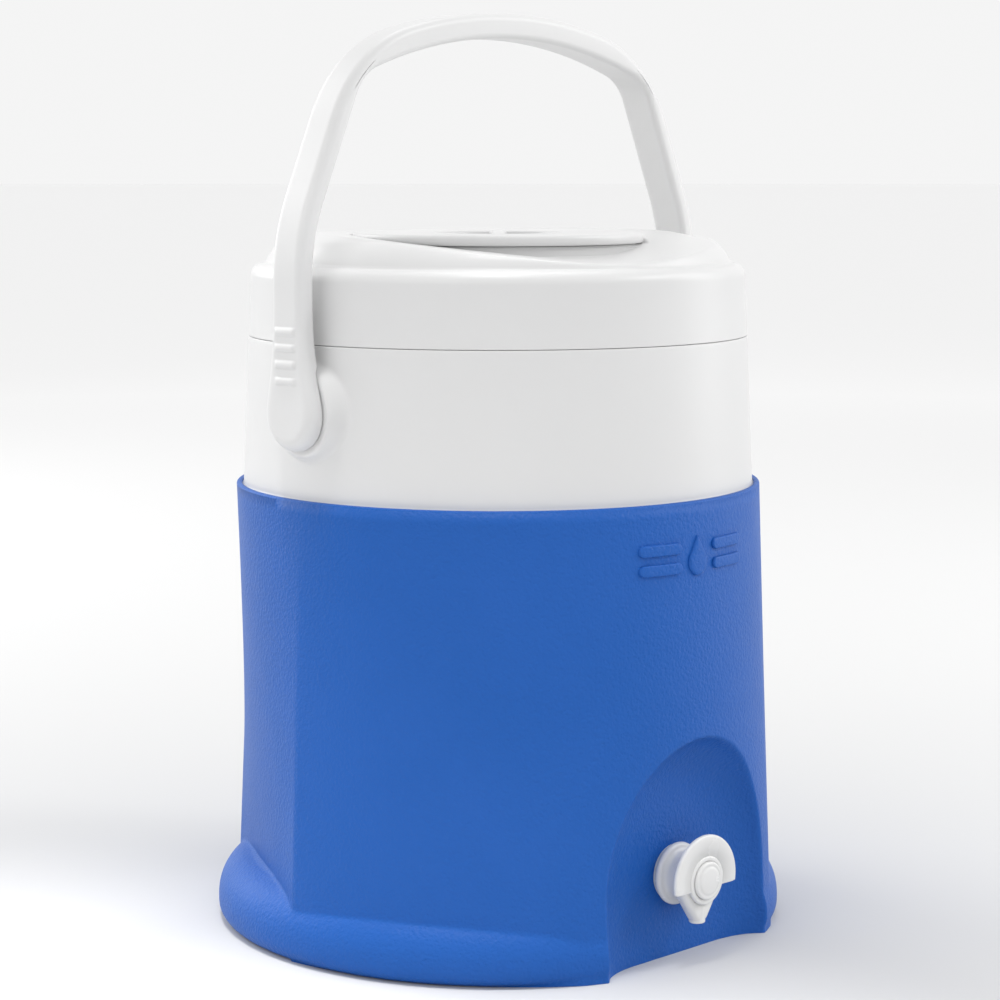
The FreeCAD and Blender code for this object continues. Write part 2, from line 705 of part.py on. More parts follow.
def cap_foam():
    block = disc(PLUG_R - PLUG_WALL, PLUG_BOTTOM_Z + PLUG_WALL, CAP_BOTTOM_Z)
    return block.cut(pocket_wall())


def cap_seal():
    inner_r = SEAL_GROOVE_INNER_R + SEAL_GROOVE_CLEAR
    outer_r = SEAL_GROOVE_OUTER_R - SEAL_GROOVE_CLEAR
    return ring(inner_r, outer_r, CAP_SEAL_BOTTOM_Z, CAP_BOTTOM_Z - CLEAR)


# ---- tap ----

def spout_plate():
    """Head of the tap seen from the front: a round that narrows down to the spout."""
    drop = TAP_Z - SPOUT_CENTRE_Z
    lean = math.asin((HEAD_R - SPOUT_R) / drop)
    side = Vector(math.cos(lean), 0, -math.sin(lean))
    upper = (HEAD_R * side.x, TAP_Z + HEAD_R * side.z)
    lower = (SPOUT_R * side.x, SPOUT_CENTRE_Z + SPOUT_R * side.z)
    face = outline(
        (-upper[0], upper[1]),
        (0, TAP_Z + HEAD_R, upper[0], upper[1]),
        lower,
        (0, SPOUT_CENTRE_Z - SPOUT_R, -lower[0], lower[1]),
    )
    face.translate(Vector(0, HEAD_FRONT_Y, 0))
    return face.extrude(Vector(0, HEAD_BACK_Y - HEAD_FRONT_Y, 0))


def tap_body():
    washer_front = ALCOVE_Y - TAP_WASHER
    solid = rod_y(FLANGE_R, FLANGE_FRONT_Y, washer_front)
    solid = solid.fuse(rod_y(BARREL_R, HEAD_FRONT_Y, FLANGE_FRONT_Y + 1))
    solid = solid.fuse(rod_y(SHANK_R, washer_front - 1, SHANK_END_Y))
    solid = solid.fuse(spout_plate())
    plate = rod_y(PLATE_R, PLATE_FRONT_Y, HEAD_FRONT_Y)
    solid = solid.fuse(plate.common(disc(OPEN, PLATE_LOW_Z, OPEN)))
    solid = solid.fuse(rod_y(RING_R, RING_FRONT_Y, HEAD_FRONT_Y + 1))
    solid = solid.cut(rod_y(BUTTON_R + SLIDE_CLEAR, BUTTON_FRONT_Y - 1, BUTTON_BORE_BACK_Y))
    solid = solid.cut(rod_y(WATER_BORE_R, BUTTON_BORE_BACK_Y - 1, SHANK_END_Y + 1))
    bore_start = Vector(0, (HEAD_FRONT_Y + HEAD_BACK_Y) / 2, SPOUT_BORE_LOW_Z)
    spout_bore = Part.makeCylinder(SPOUT_BORE_R, TAP_Z - SPOUT_BORE_LOW_Z, bore_start)
    return solid.cut(spout_bore).removeSplitter()


def tap_button():
    boss = rod_y(BUTTON_BOSS_R, BUTTON_BACK_Y - 1, BUTTON_BACK_Y + BUTTON_BOSS_LENGTH)
    return rod_y(BUTTON_R, BUTTON_FRONT_Y, BUTTON_BACK_Y).fuse(boss)


def tap_stem():
    end_y = SHANK_END_Y + CLEAR + SEAL_THICKNESS + 3
    return rod_y(STEM_R, BUTTON_BACK_Y + BUTTON_BOSS_LENGTH, end_y)


def tap_valve_seal():
    start = SHANK_END_Y + CLEAR
    return tube_y(STEM_R, SEAL_R, start, start + SEAL_THICKNESS)


def tap_stem_clip():
    start = SHANK_END_Y + CLEAR + SEAL_THICKNESS
    return tube_y(STEM_R, CLIP_R, start, start + CLIP_THICKNESS)


def tap_spring():
    """Return spring between the button and the floor of its bore, as closed turns."""
    turns = []
    for turn in range(SPRING_TURNS):
        middle = Vector(0, BUTTON_BACK_Y + SPRING_WIRE_R + turn * SPRING_PITCH, TAP_Z)
        turns.append(Part.makeTorus(SPRING_R, SPRING_WIRE_R, middle, Vector(0, 1, 0)))
    return Part.makeCompound(turns)


def tap_washer_outer():
    return tube_y(SHANK_R, FLANGE_R - 1.5, ALCOVE_Y - TAP_WASHER, ALCOVE_Y)


def tap_washer_inner():
    return tube_y(SHANK_R, NUT_R - 1, TANK_BOSS_INNER_Y, TANK_BOSS_INNER_Y + TAP_WASHER)


def tap_nut():
    start = TANK_BOSS_INNER_Y + TAP_WASHER
    centre = Vector(0, start, TAP_Z)
    corners = [centre + in_plane(corner * math.pi / 3) * NUT_R for corner in range(7)]
    hexagon = Part.Face(Part.makePolygon(corners)).extrude(Vector(0, NUT_LENGTH - TAP_WASHER, 0))
    return hexagon.cut(rod_y(SHANK_R, start - 1, start + NUT_LENGTH))


NODES = {
    "outer_shell": outer_shell(),
    "base_plate": base_plate(),
    "foam_body": foam_body(),
    "inner_liner": inner_liner(),
    "neck_gasket": neck_gasket(),
    "shoulder_collar": shoulder_collar(),
    "pivot_bush_right": pivot_bush(),
    "pivot_bush_left": mirrored(pivot_bush()),
    "pivot_pin_right": pivot_pin(),
    "pivot_pin_left": mirrored(pivot_pin()),
    "handle": handle(),
    "lid_shell": with_lid_turn(lid_shell()),
    "lid_foam": with_lid_turn(lid_foam()),
    "lid_liner": with_lid_turn(lid_liner()),
    "lid_gasket": lid_gasket(),
    "filler_cap": with_lid_turn(filler_cap()),
    "cap_liner": cap_liner(),
    "cap_foam": cap_foam(),
    "cap_seal": cap_seal(),
    "tap_body": tap_body(),
    "tap_button": tap_button(),
    "tap_stem": tap_stem(),
    "tap_spring": tap_spring(),
    "tap_valve_seal": tap_valve_seal(),
    "tap_stem_clip": tap_stem_clip(),
    "tap_washer_outer": tap_washer_outer(),
    "tap_washer_inner": tap_washer_inner(),
    "tap_nut": tap_nut(),
}

os.makedirs("parts", exist_ok=True)
for name, shape in NODES.items():
    print(name, shape.isValid(), len(shape.Solids), round(shape.Volume / 1000, 2), "cm3")
    shape.exportStep("parts/" + name + ".step")
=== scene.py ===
"""Looks of the insulated drink dispenser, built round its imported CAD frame.

Everything is placed in the frame's own coordinates: the origin is under the jug's middle, +Z is up and
the tap faces -Y. Shapes are worked out in millimetres and scaled once, when their mesh is made.
An azimuth is measured from the tap's side and is positive towards +X.
"""
import math

import bmesh
import bpy
import numpy as np
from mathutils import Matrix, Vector


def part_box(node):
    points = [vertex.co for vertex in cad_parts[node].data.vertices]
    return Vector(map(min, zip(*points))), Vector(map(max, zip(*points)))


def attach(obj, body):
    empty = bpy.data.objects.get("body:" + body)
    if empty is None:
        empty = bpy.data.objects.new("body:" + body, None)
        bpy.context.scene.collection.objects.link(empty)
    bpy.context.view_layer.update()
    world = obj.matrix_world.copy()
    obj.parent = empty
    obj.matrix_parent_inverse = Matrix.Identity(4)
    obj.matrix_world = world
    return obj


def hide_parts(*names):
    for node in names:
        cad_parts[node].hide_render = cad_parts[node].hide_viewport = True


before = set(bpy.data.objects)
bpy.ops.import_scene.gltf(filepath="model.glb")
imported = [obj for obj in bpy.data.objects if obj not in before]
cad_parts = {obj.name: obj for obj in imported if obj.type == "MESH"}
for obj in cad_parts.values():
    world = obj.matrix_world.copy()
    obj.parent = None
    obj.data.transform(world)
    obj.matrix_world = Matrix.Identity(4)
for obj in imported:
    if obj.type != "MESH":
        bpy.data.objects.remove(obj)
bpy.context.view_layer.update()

MM = 0.001


def box_mm(node):
    """Lowest and highest corner of a CAD node in millimetres."""
    low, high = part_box(node)
    return low / MM, high / MM


# ---- sizes read from the frame ----
_, shell_high = box_mm("outer_shell")
collar_low, collar_high = box_mm("shoulder_collar")
_, handle_high = box_mm("handle")
lid_low, _ = box_mm("lid_shell")
_, cap_high = box_mm("filler_cap")
tap_low, tap_high = box_mm("tap_body")
button_low, button_high = box_mm("tap_button")
bush_low, bush_high = box_mm("pivot_bush_right")

SHELL_TOP_Z = shell_high.z
FOOT_R = shell_high.x
COLLAR_LOW_Z = collar_low.z
NECK_TOP_Z = collar_high.z
BOSS_FACE_X = collar_high.x
HANDLE_TOP_Z = handle_high.z
PIVOT_Z = (bush_low.z + bush_high.z) / 2
LID_BOTTOM_Z = lid_low.z
CAP_TOP_Z = cap_high.z
TAP_Z = (button_low.z + button_high.z) / 2
BUTTON_R = (button_high.z - button_low.z) / 2
BUTTON_FRONT = -button_low.y
TAP_FRONT = -tap_low.y
SHANK_END = -tap_high.y

# ---- blue shell ----
WALL = 3.0
SHELL_TOP_R = 142.4
SHELL_LOW_Z = 20.0            # the low radii below are given at this height
CORNER_LOW_R = 153.0
CREASE_LOW_R = 150.5
FRONT_PANEL_LOW_R = 147.0
REAR_PANEL_LOW_R = 133.0
FRONT_CORNER_AZ = 29.0
CREASE_AZ = 90.0
REAR_CORNER_AZ = 150.0
FOOT_EDGE = 8.0               # radius of the foot's lower edge
FOOT_STRAIGHT_TOP = 10.0
FOOT_TOP_Z = 35.0
FOOT_FALL = 25.0              # how far the foot's round top falls in towards the body
FOOT_POWER = 2.2
UNDERSIDE_R = 144.0
UNDERSIDE_Z = 9.0
ALCOVE_BACK = 129.0           # distance of the alcove's flat back in front of the axis
ALCOVE_DRAFT = 2.0            # how much nearer to the front its back is at the floor
ALCOVE_HALF_W = 62.0
ALCOVE_SPRING_Z = 40.0
ALCOVE_TOP_Z = 118.0
ALCOVE_RIM_SLOPE = 4.0        # how fast its surface runs out in front of the shell beyond the rim
SHELL_LIP_R = 1.3

# ---- emblem ----
EMBLEM_Z = 212.0
EMBLEM_RELIEF = 1.6
DROP_Z = 209.0
DROP_R = 7.0
DROP_TIP_UP = 13.5
BAR_R = 3.0
BAR_FROM_X = 15.0
BAR_TO_X = 36.0
BAR_STEP_Z = 5.0

# ---- lid and filler cap ----
LID_TURN = math.radians(-15.0)
SADDLE_Z = 365.75
SADDLE_RISE = 0.0448
SADDLE_ROUND_HALF_W = 27.0
SADDLE_ROUND_R = 300.0
SADDLE_SIDE_SLOPE = 0.09
SEAT_Z = 368.0
SEAT_R = 80.0
PEDESTAL_R = 76.0
MOUTH_R = 62.0
CAP_R = 78.5
CAP_BOTTOM_Z = 368.35
RECESS_R = 34.0
RECESS_FLOOR_Z = 360.0
GRIP_BAR_AZ = -45.0
GRIP_BAR_HALF_W = 3.5

# ---- shoulder collar ----
SHOULDER_R = 138.5
SHOULDER_TOP_R = 135.0
SHOULDER_TOP_Z = 319.0
NECK_R = 122.5
TANK_R = 118.5
SOCKET_R = SHELL_TOP_R - WALL
BOSS_FACE_R = 22.0
THREAD_STARTS = 3
THREAD_LEAD = 15.0
THREAD_HEIGHT = 1.25

# ---- tap ----
BORE_R = 5.5
SPRING_POCKET_R = 7.6         # room for the spring, which rides in with the button
SPRING_POCKET_END = 133.6
HEAD_R = 16.0
SPOUT_R = 5.5
SPOUT_DROP = 18.0
NOZZLE_Y = -146.0
THUMB_PLATE_R = 23.7
THUMB_PLATE_BELOW = 4.5       # how far it reaches below the button's middle

# ---- handle ----
EYE_R = 19.0
EYE_INNER_X = 142.9
LEG_OUTER_X = 151.5
LEG_INNER_X = 141.3
LEG_HALF_W = 11.5
LEG_BEND_Z = 352.0            # the legs lean in from here up
LEG_BEND_R = 110.0
LEG_LEAN = math.radians(23.0)
CROWN_R = 290.0
GRIP_THICKNESS = 13.5
BAIL_SHOULDER_R = 80.0        # outer radius between a leg and the crown
BAIL_SHOULDER_INNER_R = 25.0
RIDGE_HEIGHTS = (301.5, 310.0, 318.5, 326.5)
RIDGE_PROUD = 1.0
RIDGE_HALF_W = 8.0
RIDGE_RUN = 2.0               # half of a ridge's height along the leg
BAIL_OUTER_EDGE_R = 4.6       # rounding of the leg's outer edges, larger at the eye
BAIL_INNER_EDGE_R = 3.2       # rounding of its inner edges, smaller at the eye
EYE_EDGE_CHANGE = 2.0


# ---- mesh helpers ----

def grid_faces(rows, columns, loop_rows):
    """Quads between the rows of a grid whose columns close on themselves."""
    faces = []
    for row in range(rows if loop_rows else rows - 1):
        this_row = row * columns
        next_row = ((row + 1) % rows) * columns
        for column in range(columns):
            beside = (column + 1) % columns
            faces.append((this_row + column, this_row + beside, next_row + beside, next_row + column))
    return faces


def add_piece(name, grid, body, material, stands_for, loop_rows=True):
    """Smooth closed piece from a (rows, columns, 3) grid in millimetres that rides on a CAD body."""
    rows, columns = grid.shape[:2]
    mesh = bpy.data.meshes.new(name)
    mesh.from_pydata((grid.reshape(-1, 3) * MM).tolist(), [], grid_faces(rows, columns, loop_rows))
    shape = bmesh.new()
    shape.from_mesh(mesh)
    bmesh.ops.remove_doubles(shape, verts=shape.verts, dist=0.004 * MM)
    bmesh.ops.dissolve_degenerate(shape, edges=shape.edges, dist=0.002 * MM)
    bmesh.ops.recalc_face_normals(shape, faces=shape.faces)
    shape.to_mesh(mesh)
    shape.free()
    mesh.shade_smooth()
    mesh.materials.append(material)
    piece = bpy.data.objects.new(name, mesh)
    bpy.context.scene.collection.objects.link(piece)
    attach(piece, body)
    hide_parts(stands_for)
    return piece


def circle_through(a, b, c):
    """Centres and radii of the circles through rows of three points."""
    to_b = b - a
    to_c = c - a
    cross = 2 * (to_b[..., 0] * to_c[..., 1] - to_b[..., 1] * to_c[..., 0])
    square_b = (to_b ** 2).sum(-1)
    square_c = (to_c ** 2).sum(-1)
    centre_x = (to_c[..., 1] * square_b - to_b[..., 1] * square_c) / cross
    centre_y = (to_b[..., 0] * square_c - to_c[..., 0] * square_b) / cross
    offset = np.stack([centre_x, centre_y], -1)
    return a + offset, np.hypot(centre_x, centre_y)


def curve(start, *steps, arc_steps=8):
    """Points along straight steps (x, z) and arcs (mid_x, mid_z, x, z)."""
    points = [np.array(start, float)]
    for step in steps:
        here = points[-1]
        there = np.array(step[-2:], float)
        if len(step) == 2:
            points.append(there)
            continue
        middle = np.array(step[:2], float)
        centre, radius = circle_through(here, middle, there)
        angles = [math.atan2(*(point - centre)[::-1]) for point in (here, middle, there)]
        turn = math.remainder(angles[1] - angles[0], math.tau)
        turn += math.remainder(angles[2] - angles[1], math.tau)
        for share in np.linspace(0, 1, arc_steps + 1)[1:]:
            angle = angles[0] + turn * share
            points.append(centre + radius * np.array([math.cos(angle), math.sin(angle)]))
    return np.array(points)


def rounded(corners, steps=5, closed=True):
    """Outline through corners (x, z, radius), each rounded to its radius."""
    points = []
    count = len(corners)
    for index, (x, z, radius) in enumerate(corners):
        here = Vector((x, z))
        if not radius or (not closed and index in (0, count - 1)):
            points.append(here)
            continue
        before = Vector(corners[index - 1][:2]) - here
        after = Vector(corners[(index + 1) % count][:2]) - here
        half = before.angle(after) / 2
        reach = min(radius / math.tan(half), 0.49 * before.length, 0.49 * after.length)
        bisector = (before.normalized() + after.normalized()).normalized()
        centre = here + bisector * (reach / math.cos(half))
        spoke = here + before.normalized() * reach - centre
        far_spoke = here + after.normalized() * reach - centre
        for step in range(steps + 1):
            way = spoke.normalized().slerp(far_spoke.normalized(), step / steps)
            points.append(centre + way * spoke.length)
    return np.array([tuple(point) for point in points])


def lathe(outline, segments=192):
    """Grid of an outline of (radius, height) turned round Z."""
    angles = np.linspace(0, math.tau, segments, endpoint=False)
    grid = np.empty((len(outline), segments, 3))
    grid[:, :, 0] = outline[:, :1] * np.sin(angles)
    grid[:, :, 1] = -outline[:, :1] * np.cos(angles)
    grid[:, :, 2] = outline[:, 1:]
    return grid


def toward(radius, azimuth):
    """Points (x, y) at a radius along azimuths in degrees."""
    angle = np.radians(azimuth)
    return np.stack([radius * np.sin(angle), -radius * np.cos(angle)], -1)


def level_ring(radius, azimuth, z):
    """One row of a grid: a round ring at a height."""
    return np.append(toward(radius, azimuth), np.full((len(azimuth), 1), z), 1)[None]


def on_tap_axis(grid):
    """Lays a grid made round Z along the tap's axis: its height becomes the way to the front."""
    laid = np.empty_like(grid)
    laid[..., 0] = grid[..., 0]
    laid[..., 1] = -grid[..., 2]
    laid[..., 2] = TAP_Z - grid[..., 1]
    return laid


def smooth_max(a, b, width):
    """The larger of a and b, rounded over width where they cross."""
    share = np.clip(0.5 + 0.5 * (a - b) / width, 0, 1)
    return b + (a - b) * share + width * share * (1 - share)


def smooth_min(a, b, width):
    return -smooth_max(-a, -b, width)


def smooth_step(low, high, value):
    share = np.clip((value - low) / (high - low), 0, 1)
    return share * share * (3 - 2 * share)


def edge_drop(distance, radius):
    """How far a rounded edge of that radius falls at a distance from the outline."""
    inside = np.clip(radius - distance, 0, radius)
    return radius - np.sqrt(np.maximum(radius ** 2 - inside ** 2, 0))


# ---- materials ----

def new_material(name, colour, roughness):
    """Principled material with its plain values set, and its tree for the details."""
    material = bpy.data.materials.new(name)
    material.use_nodes = True
    shader = material.node_tree.nodes["Principled BSDF"]
    shader.inputs["Base Color"].default_value = (*colour, 1)
    shader.inputs["Roughness"].default_value = roughness
    return material, material.node_tree, shader


def add_noise(tree, scale, detail, stretch=(1, 1, 1)):
    """Noise in the object's own metres."""
    where = tree.nodes.new("ShaderNodeTexCoord")
    mapping = tree.nodes.new("ShaderNodeMapping")
    mapping.inputs["Scale"].default_value = stretch
    noise = tree.nodes.new("ShaderNodeTexNoise")
    noise.inputs["Scale"].default_value = scale
    noise.inputs["Detail"].default_value = detail
    tree.links.new(where.outputs["Object"], mapping.inputs["Vector"])
    tree.links.new(mapping.outputs["Vector"], noise.inputs["Vector"])
    return noise.outputs["Fac"]


def vary_colour(tree, shader, fac, dark, light):
    """Colour that drifts between two close tones."""
    ramp = tree.nodes.new("ShaderNodeValToRGB")
    ramp.color_ramp.elements[0].position = 0.35
    ramp.color_ramp.elements[0].color = (*dark, 1)
    ramp.color_ramp.elements[1].position = 0.65
    ramp.color_ramp.elements[1].color = (*light, 1)
    tree.links.new(fac, ramp.inputs["Fac"])
    tree.links.new(ramp.outputs["Color"], shader.inputs["Base Color"])


def vary_roughness(tree, shader, fac, low, high):
    spread = tree.nodes.new("ShaderNodeMapRange")
    spread.inputs["To Min"].default_value = low
    spread.inputs["To Max"].default_value = high
    tree.links.new(fac, spread.inputs["Value"])
    tree.links.new(spread.outputs["Result"], shader.inputs["Roughness"])


def add_bump(tree, shader, height, strength, distance_mm):
    bump = tree.nodes.new("ShaderNodeBump")
    bump.inputs["Strength"].default_value = strength
    bump.inputs["Distance"].default_value = distance_mm * MM
    tree.links.new(height, bump.inputs["Height"])
    tree.links.new(bump.outputs["Normal"], shader.inputs["Normal"])


def pebbled_blue():
    """Blue polyethylene with the fine pebbled grain of a textured mould."""
    material, tree, shader = new_material("pebbled_blue", (0.004, 0.08, 0.38), 0.42)
    shader.inputs["Specular IOR Level"].default_value = 0.24
    drift = add_noise(tree, 9, 3)
    vary_colour(tree, shader, drift, (0.008, 0.093, 0.395), (0.011, 0.099, 0.415))
    pebbles = tree.nodes.new("ShaderNodeTexVoronoi")
    pebbles.feature = "SMOOTH_F1"
    pebbles.inputs["Scale"].default_value = 520
    where = tree.nodes.new("ShaderNodeTexCoord")
    tree.links.new(where.outputs["Object"], pebbles.inputs["Vector"])
    fine = add_noise(tree, 900, 3)
    mix = tree.nodes.new("ShaderNodeMath")
    mix.operation = "ADD"
    tree.links.new(pebbles.outputs["Distance"], mix.inputs[0])
    tree.links.new(fine, mix.inputs[1])
    add_bump(tree, shader, mix.outputs["Value"], 0.8, 0.4)
    vary_roughness(tree, shader, add_noise(tree, 60, 4), 0.42, 0.5)
    return material


def smooth_white():
    """White polypropylene, smooth and half glossy, with faint flow unevenness."""
    material, tree, shader = new_material("smooth_white", (0.67, 0.67, 0.67), 0.36)
    vary_colour(tree, shader, add_noise(tree, 7, 3), (0.662, 0.662, 0.662), (0.678, 0.678, 0.678))
    vary_roughness(tree, shader, add_noise(tree, 35, 4), 0.32, 0.4)
    add_bump(tree, shader, add_noise(tree, 420, 3), 0.06, 0.1)
    return material


def tap_white():
    """Whiter and glossier plastic of the tap."""
    material, tree, shader = new_material("tap_white", (0.72, 0.72, 0.715), 0.25)
    vary_colour(tree, shader, add_noise(tree, 30, 3), (0.71, 0.71, 0.705), (0.73, 0.73, 0.725))
    vary_roughness(tree, shader, add_noise(tree, 80, 4), 0.2, 0.32)
    add_bump(tree, shader, add_noise(tree, 700, 2), 0.05, 0.06)
    return material


def tank_plastic():
    material, tree, shader = new_material("tank_plastic", (0.72, 0.75, 0.78), 0.35)
    vary_colour(tree, shader, add_noise(tree, 12, 3), (0.7, 0.73, 0.76), (0.74, 0.77, 0.8))
    vary_roughness(tree, shader, add_noise(tree, 50, 4), 0.3, 0.42)
    add_bump(tree, shader, add_noise(tree, 300, 3), 0.08, 0.1)
    return material


def silicone():
    material, tree, shader = new_material("silicone", (0.62, 0.63, 0.62), 0.6)
    vary_colour(tree, shader, add_noise(tree, 90, 4), (0.58, 0.59, 0.58), (0.66, 0.67, 0.66))
    vary_roughness(tree, shader, add_noise(tree, 200, 3), 0.55, 0.7)
    add_bump(tree, shader, add_noise(tree, 1500, 2), 0.15, 0.05)
    return material


def insulation_foam():
    material, tree, shader = new_material("insulation_foam", (0.78, 0.7, 0.45), 0.95)
    vary_colour(tree, shader, add_noise(tree, 160, 5), (0.7, 0.6, 0.34), (0.84, 0.77, 0.54))
    cells = tree.nodes.new("ShaderNodeTexVoronoi")
    cells.inputs["Scale"].default_value = 900
    where = tree.nodes.new("ShaderNodeTexCoord")
    tree.links.new(where.outputs["Object"], cells.inputs["Vector"])
    add_bump(tree, shader, cells.outputs["Distance"], 0.6, 0.4)
    return material


def brushed_steel(name, roughness):
    material, tree, shader = new_material(name, (0.62, 0.62, 0.61), roughness)
    shader.inputs["Metallic"].default_value = 1.0
    drawn = add_noise(tree, 900, 3, (0.05, 1, 1))
    vary_colour(tree, shader, drawn, (0.56, 0.56, 0.55), (0.68, 0.68, 0.67))
    vary_roughness(tree, shader, drawn, roughness - 0.08, roughness + 0.1)
    add_bump(tree, shader, drawn, 0.1, 0.02)
    return material


def natural_nylon():
    material, tree, shader = new_material("natural_nylon", (0.7, 0.68, 0.6), 0.45)
    vary_colour(tree, shader, add_noise(tree, 120, 3), (0.66, 0.64, 0.55), (0.74, 0.72, 0.65))
    vary_roughness(tree, shader, add_noise(tree, 300, 3), 0.38, 0.5)
    add_bump(tree, shader, add_noise(tree, 900, 2), 0.1, 0.04)
    return material


BLUE = pebbled_blue()
WHITE = smooth_white()
TAP_WHITE = tap_white()


# ---- blue shell ----

def low_to_height(low_radius, z):
    """A radius at a height, from the low radius to the round top."""
    share = (SHELL_TOP_Z - z) / (SHELL_TOP_Z - SHELL_LOW_Z)
    return SHELL_TOP_R + share * (low_radius - SHELL_TOP_R)


def panel_radius(z, azimuth, stations):
    """Radius of an arc through three (low radius, azimuth) stations, seen along each azimuth."""
    points = [toward(low_to_height(low_radius, z), at) for low_radius, at in stations]
    centre, radius = circle_through(*points)
    way = toward(1.0, azimuth)
    along = centre @ way.T
    off_axis = (centre ** 2).sum(-1)[:, None]
    return along + np.sqrt(radius[:, None] ** 2 - off_axis + along ** 2)


def body_radius(z, azimuth):
    """Radius of the blue body at heights z and azimuths."""
    turn = np.abs(azimuth)
    corner = low_to_height(CORNER_LOW_R, z)[:, None] + 0 * azimuth
    front = panel_radius(z, turn, [
        (CORNER_LOW_R, FRONT_CORNER_AZ),
        (FRONT_PANEL_LOW_R, (FRONT_CORNER_AZ + CREASE_AZ) / 2),
        (CREASE_LOW_R, CREASE_AZ),
    ])
    rear = panel_radius(z, turn, [
        (CREASE_LOW_R, CREASE_AZ),
        (REAR_PANEL_LOW_R, (CREASE_AZ + REAR_CORNER_AZ) / 2),
        (CORNER_LOW_R, REAR_CORNER_AZ),
    ])
    radius = np.where(turn <= FRONT_CORNER_AZ, corner, front)
    radius = np.where(turn > CREASE_AZ, rear, radius)
    return np.where(turn > REAR_CORNER_AZ, corner, radius)


def foot_radius(z):
    """Radius of the rounded foot, nothing above it."""
    below = FOOT_EDGE - np.minimum(z, FOOT_EDGE)
    low = FOOT_R - FOOT_EDGE + np.sqrt(np.maximum(FOOT_EDGE ** 2 - below ** 2, 0))
    share = np.clip((z - FOOT_STRAIGHT_TOP) / (FOOT_TOP_Z - FOOT_STRAIGHT_TOP), 0, 1)
    high = FOOT_R - FOOT_FALL * (1 - (1 - share ** FOOT_POWER) ** (1 / FOOT_POWER))
    return np.where(z < FOOT_EDGE, low, np.where(z < FOOT_TOP_Z, high, 0.0))


def alcove_wall(x, z):
    """How far in front of the axis the alcove's surface is: its back, and a sweep out to its rim."""
    above = np.maximum(z - ALCOVE_SPRING_Z, 0)
    reach = np.hypot(x, above)
    scaled = np.hypot(x / ALCOVE_HALF_W, above / (ALCOVE_TOP_Z - ALCOVE_SPRING_Z))
    to_rim = np.where(scaled > 0, reach / np.maximum(scaled, 1e-6), ALCOVE_HALF_W)
    inside = np.where(z > ALCOVE_SPRING_Z, to_rim - reach, ALCOVE_HALF_W - np.abs(x))
    steep = (above / np.maximum(reach, 1e-6)) ** 2
    sweep_width = 30 + 6 * steep
    sweep_depth = 14 + 10 * steep
    share = np.clip(1 - inside / sweep_width, 0, 1)
    sweep = sweep_depth * (1 - np.sqrt(1 - share ** 2))
    back = ALCOVE_BACK + ALCOVE_DRAFT * (1 - np.clip(z / ALCOVE_SPRING_Z, 0, 1))
    beyond = ALCOVE_RIM_SLOPE * np.maximum(-inside, 0)
    return back + sweep + beyond


def shell_surface(z, azimuth, inset):
    """Shell points at heights z, a distance inside the outer face."""
    radius = smooth_max(body_radius(z, azimuth), foot_radius(z)[:, None], 0.8)
    radius = np.minimum(radius, FOOT_R) - inset
    x = radius * np.sin(np.radians(azimuth))
    front = radius * np.cos(np.radians(azimuth))
    wall = alcove_wall(x, z[:, None] + 0 * x) - inset
    front = np.where(front > 0, smooth_min(front, wall, 3.5), front)
    return np.stack([x, -front, z[:, None] + 0 * x], -1)


def outer_shell():
    """Shell with its panels, foot and alcove outside and an even wall, open above and below."""
    fine_front = np.linspace(-33, 33, 166)
    right = np.arange(34, 156, 1.0)
    back = np.arange(158, 181, 2.0)
    azimuth = np.concatenate([-back[:-1][::-1], -right[::-1], fine_front, right, back])
    foot_edge = FOOT_EDGE - FOOT_EDGE * np.cos(np.linspace(0, math.pi / 2, 9))
    fine_z = np.arange(9, 125, 1.0)
    coarse_z = np.linspace(125, SHELL_TOP_Z - SHELL_LIP_R, 22)
    outer_z = np.concatenate([foot_edge, fine_z, coarse_z])
    rows = [shell_surface(outer_z, azimuth, 0.0)]
    for angle in np.linspace(0, math.pi / 2, 5):
        radius = SHELL_TOP_R - SHELL_LIP_R * (1 - math.cos(angle))
        height = SHELL_TOP_Z - SHELL_LIP_R * (1 - math.sin(angle))
        rows.append(level_ring(radius, azimuth, height))
    rows.append(level_ring(SOCKET_R + 0.5, azimuth, SHELL_TOP_Z))
    rows.append(level_ring(SOCKET_R, azimuth, SHELL_TOP_Z - 0.5))
    rows.append(level_ring(SOCKET_R, azimuth, COLLAR_LOW_Z))
    inner_z = np.concatenate([np.linspace(COLLAR_LOW_Z - 1, 125, 8), np.arange(120, UNDERSIDE_Z, -5.0)])
    rows.append(shell_surface(inner_z, azimuth, WALL))
    for height in (UNDERSIDE_Z, 0.0):
        ring = level_ring(UNDERSIDE_R, azimuth, height)
        ring[..., 1] = np.maximum(ring[..., 1], WALL - ALCOVE_BACK)
        rows.append(ring)
    grid = np.concatenate(rows)
    add_piece("shell", grid, "root", BLUE, "outer_shell")


# ---- emblem ----

def add_mark(name, spine, arms):
    """Pillowed mark on the shell's front: arms (x, z) reach from spine points to its outline."""
    pillow = [(1.0, -1.0), (1.0, 0.5), (0.97, 1.0), (0.9, 1.35), (0.8, 1.52)]
    pillow += [(0.6, EMBLEM_RELIEF), (0.0, EMBLEM_RELIEF)]
    rows = []
    for share, height in pillow:
        flat = spine + arms * share
        radius = low_to_height(CORNER_LOW_R, flat[:, 1]) + height
        rows.append(np.stack([flat[:, 0], -np.sqrt(radius ** 2 - flat[:, 0] ** 2), flat[:, 1]], -1))
    floor = rows[0].mean(0, keepdims=True) + 0 * rows[0]
    grid = np.stack([floor] + rows)
    add_piece(name, grid, "root", BLUE, "outer_shell", loop_rows=False)


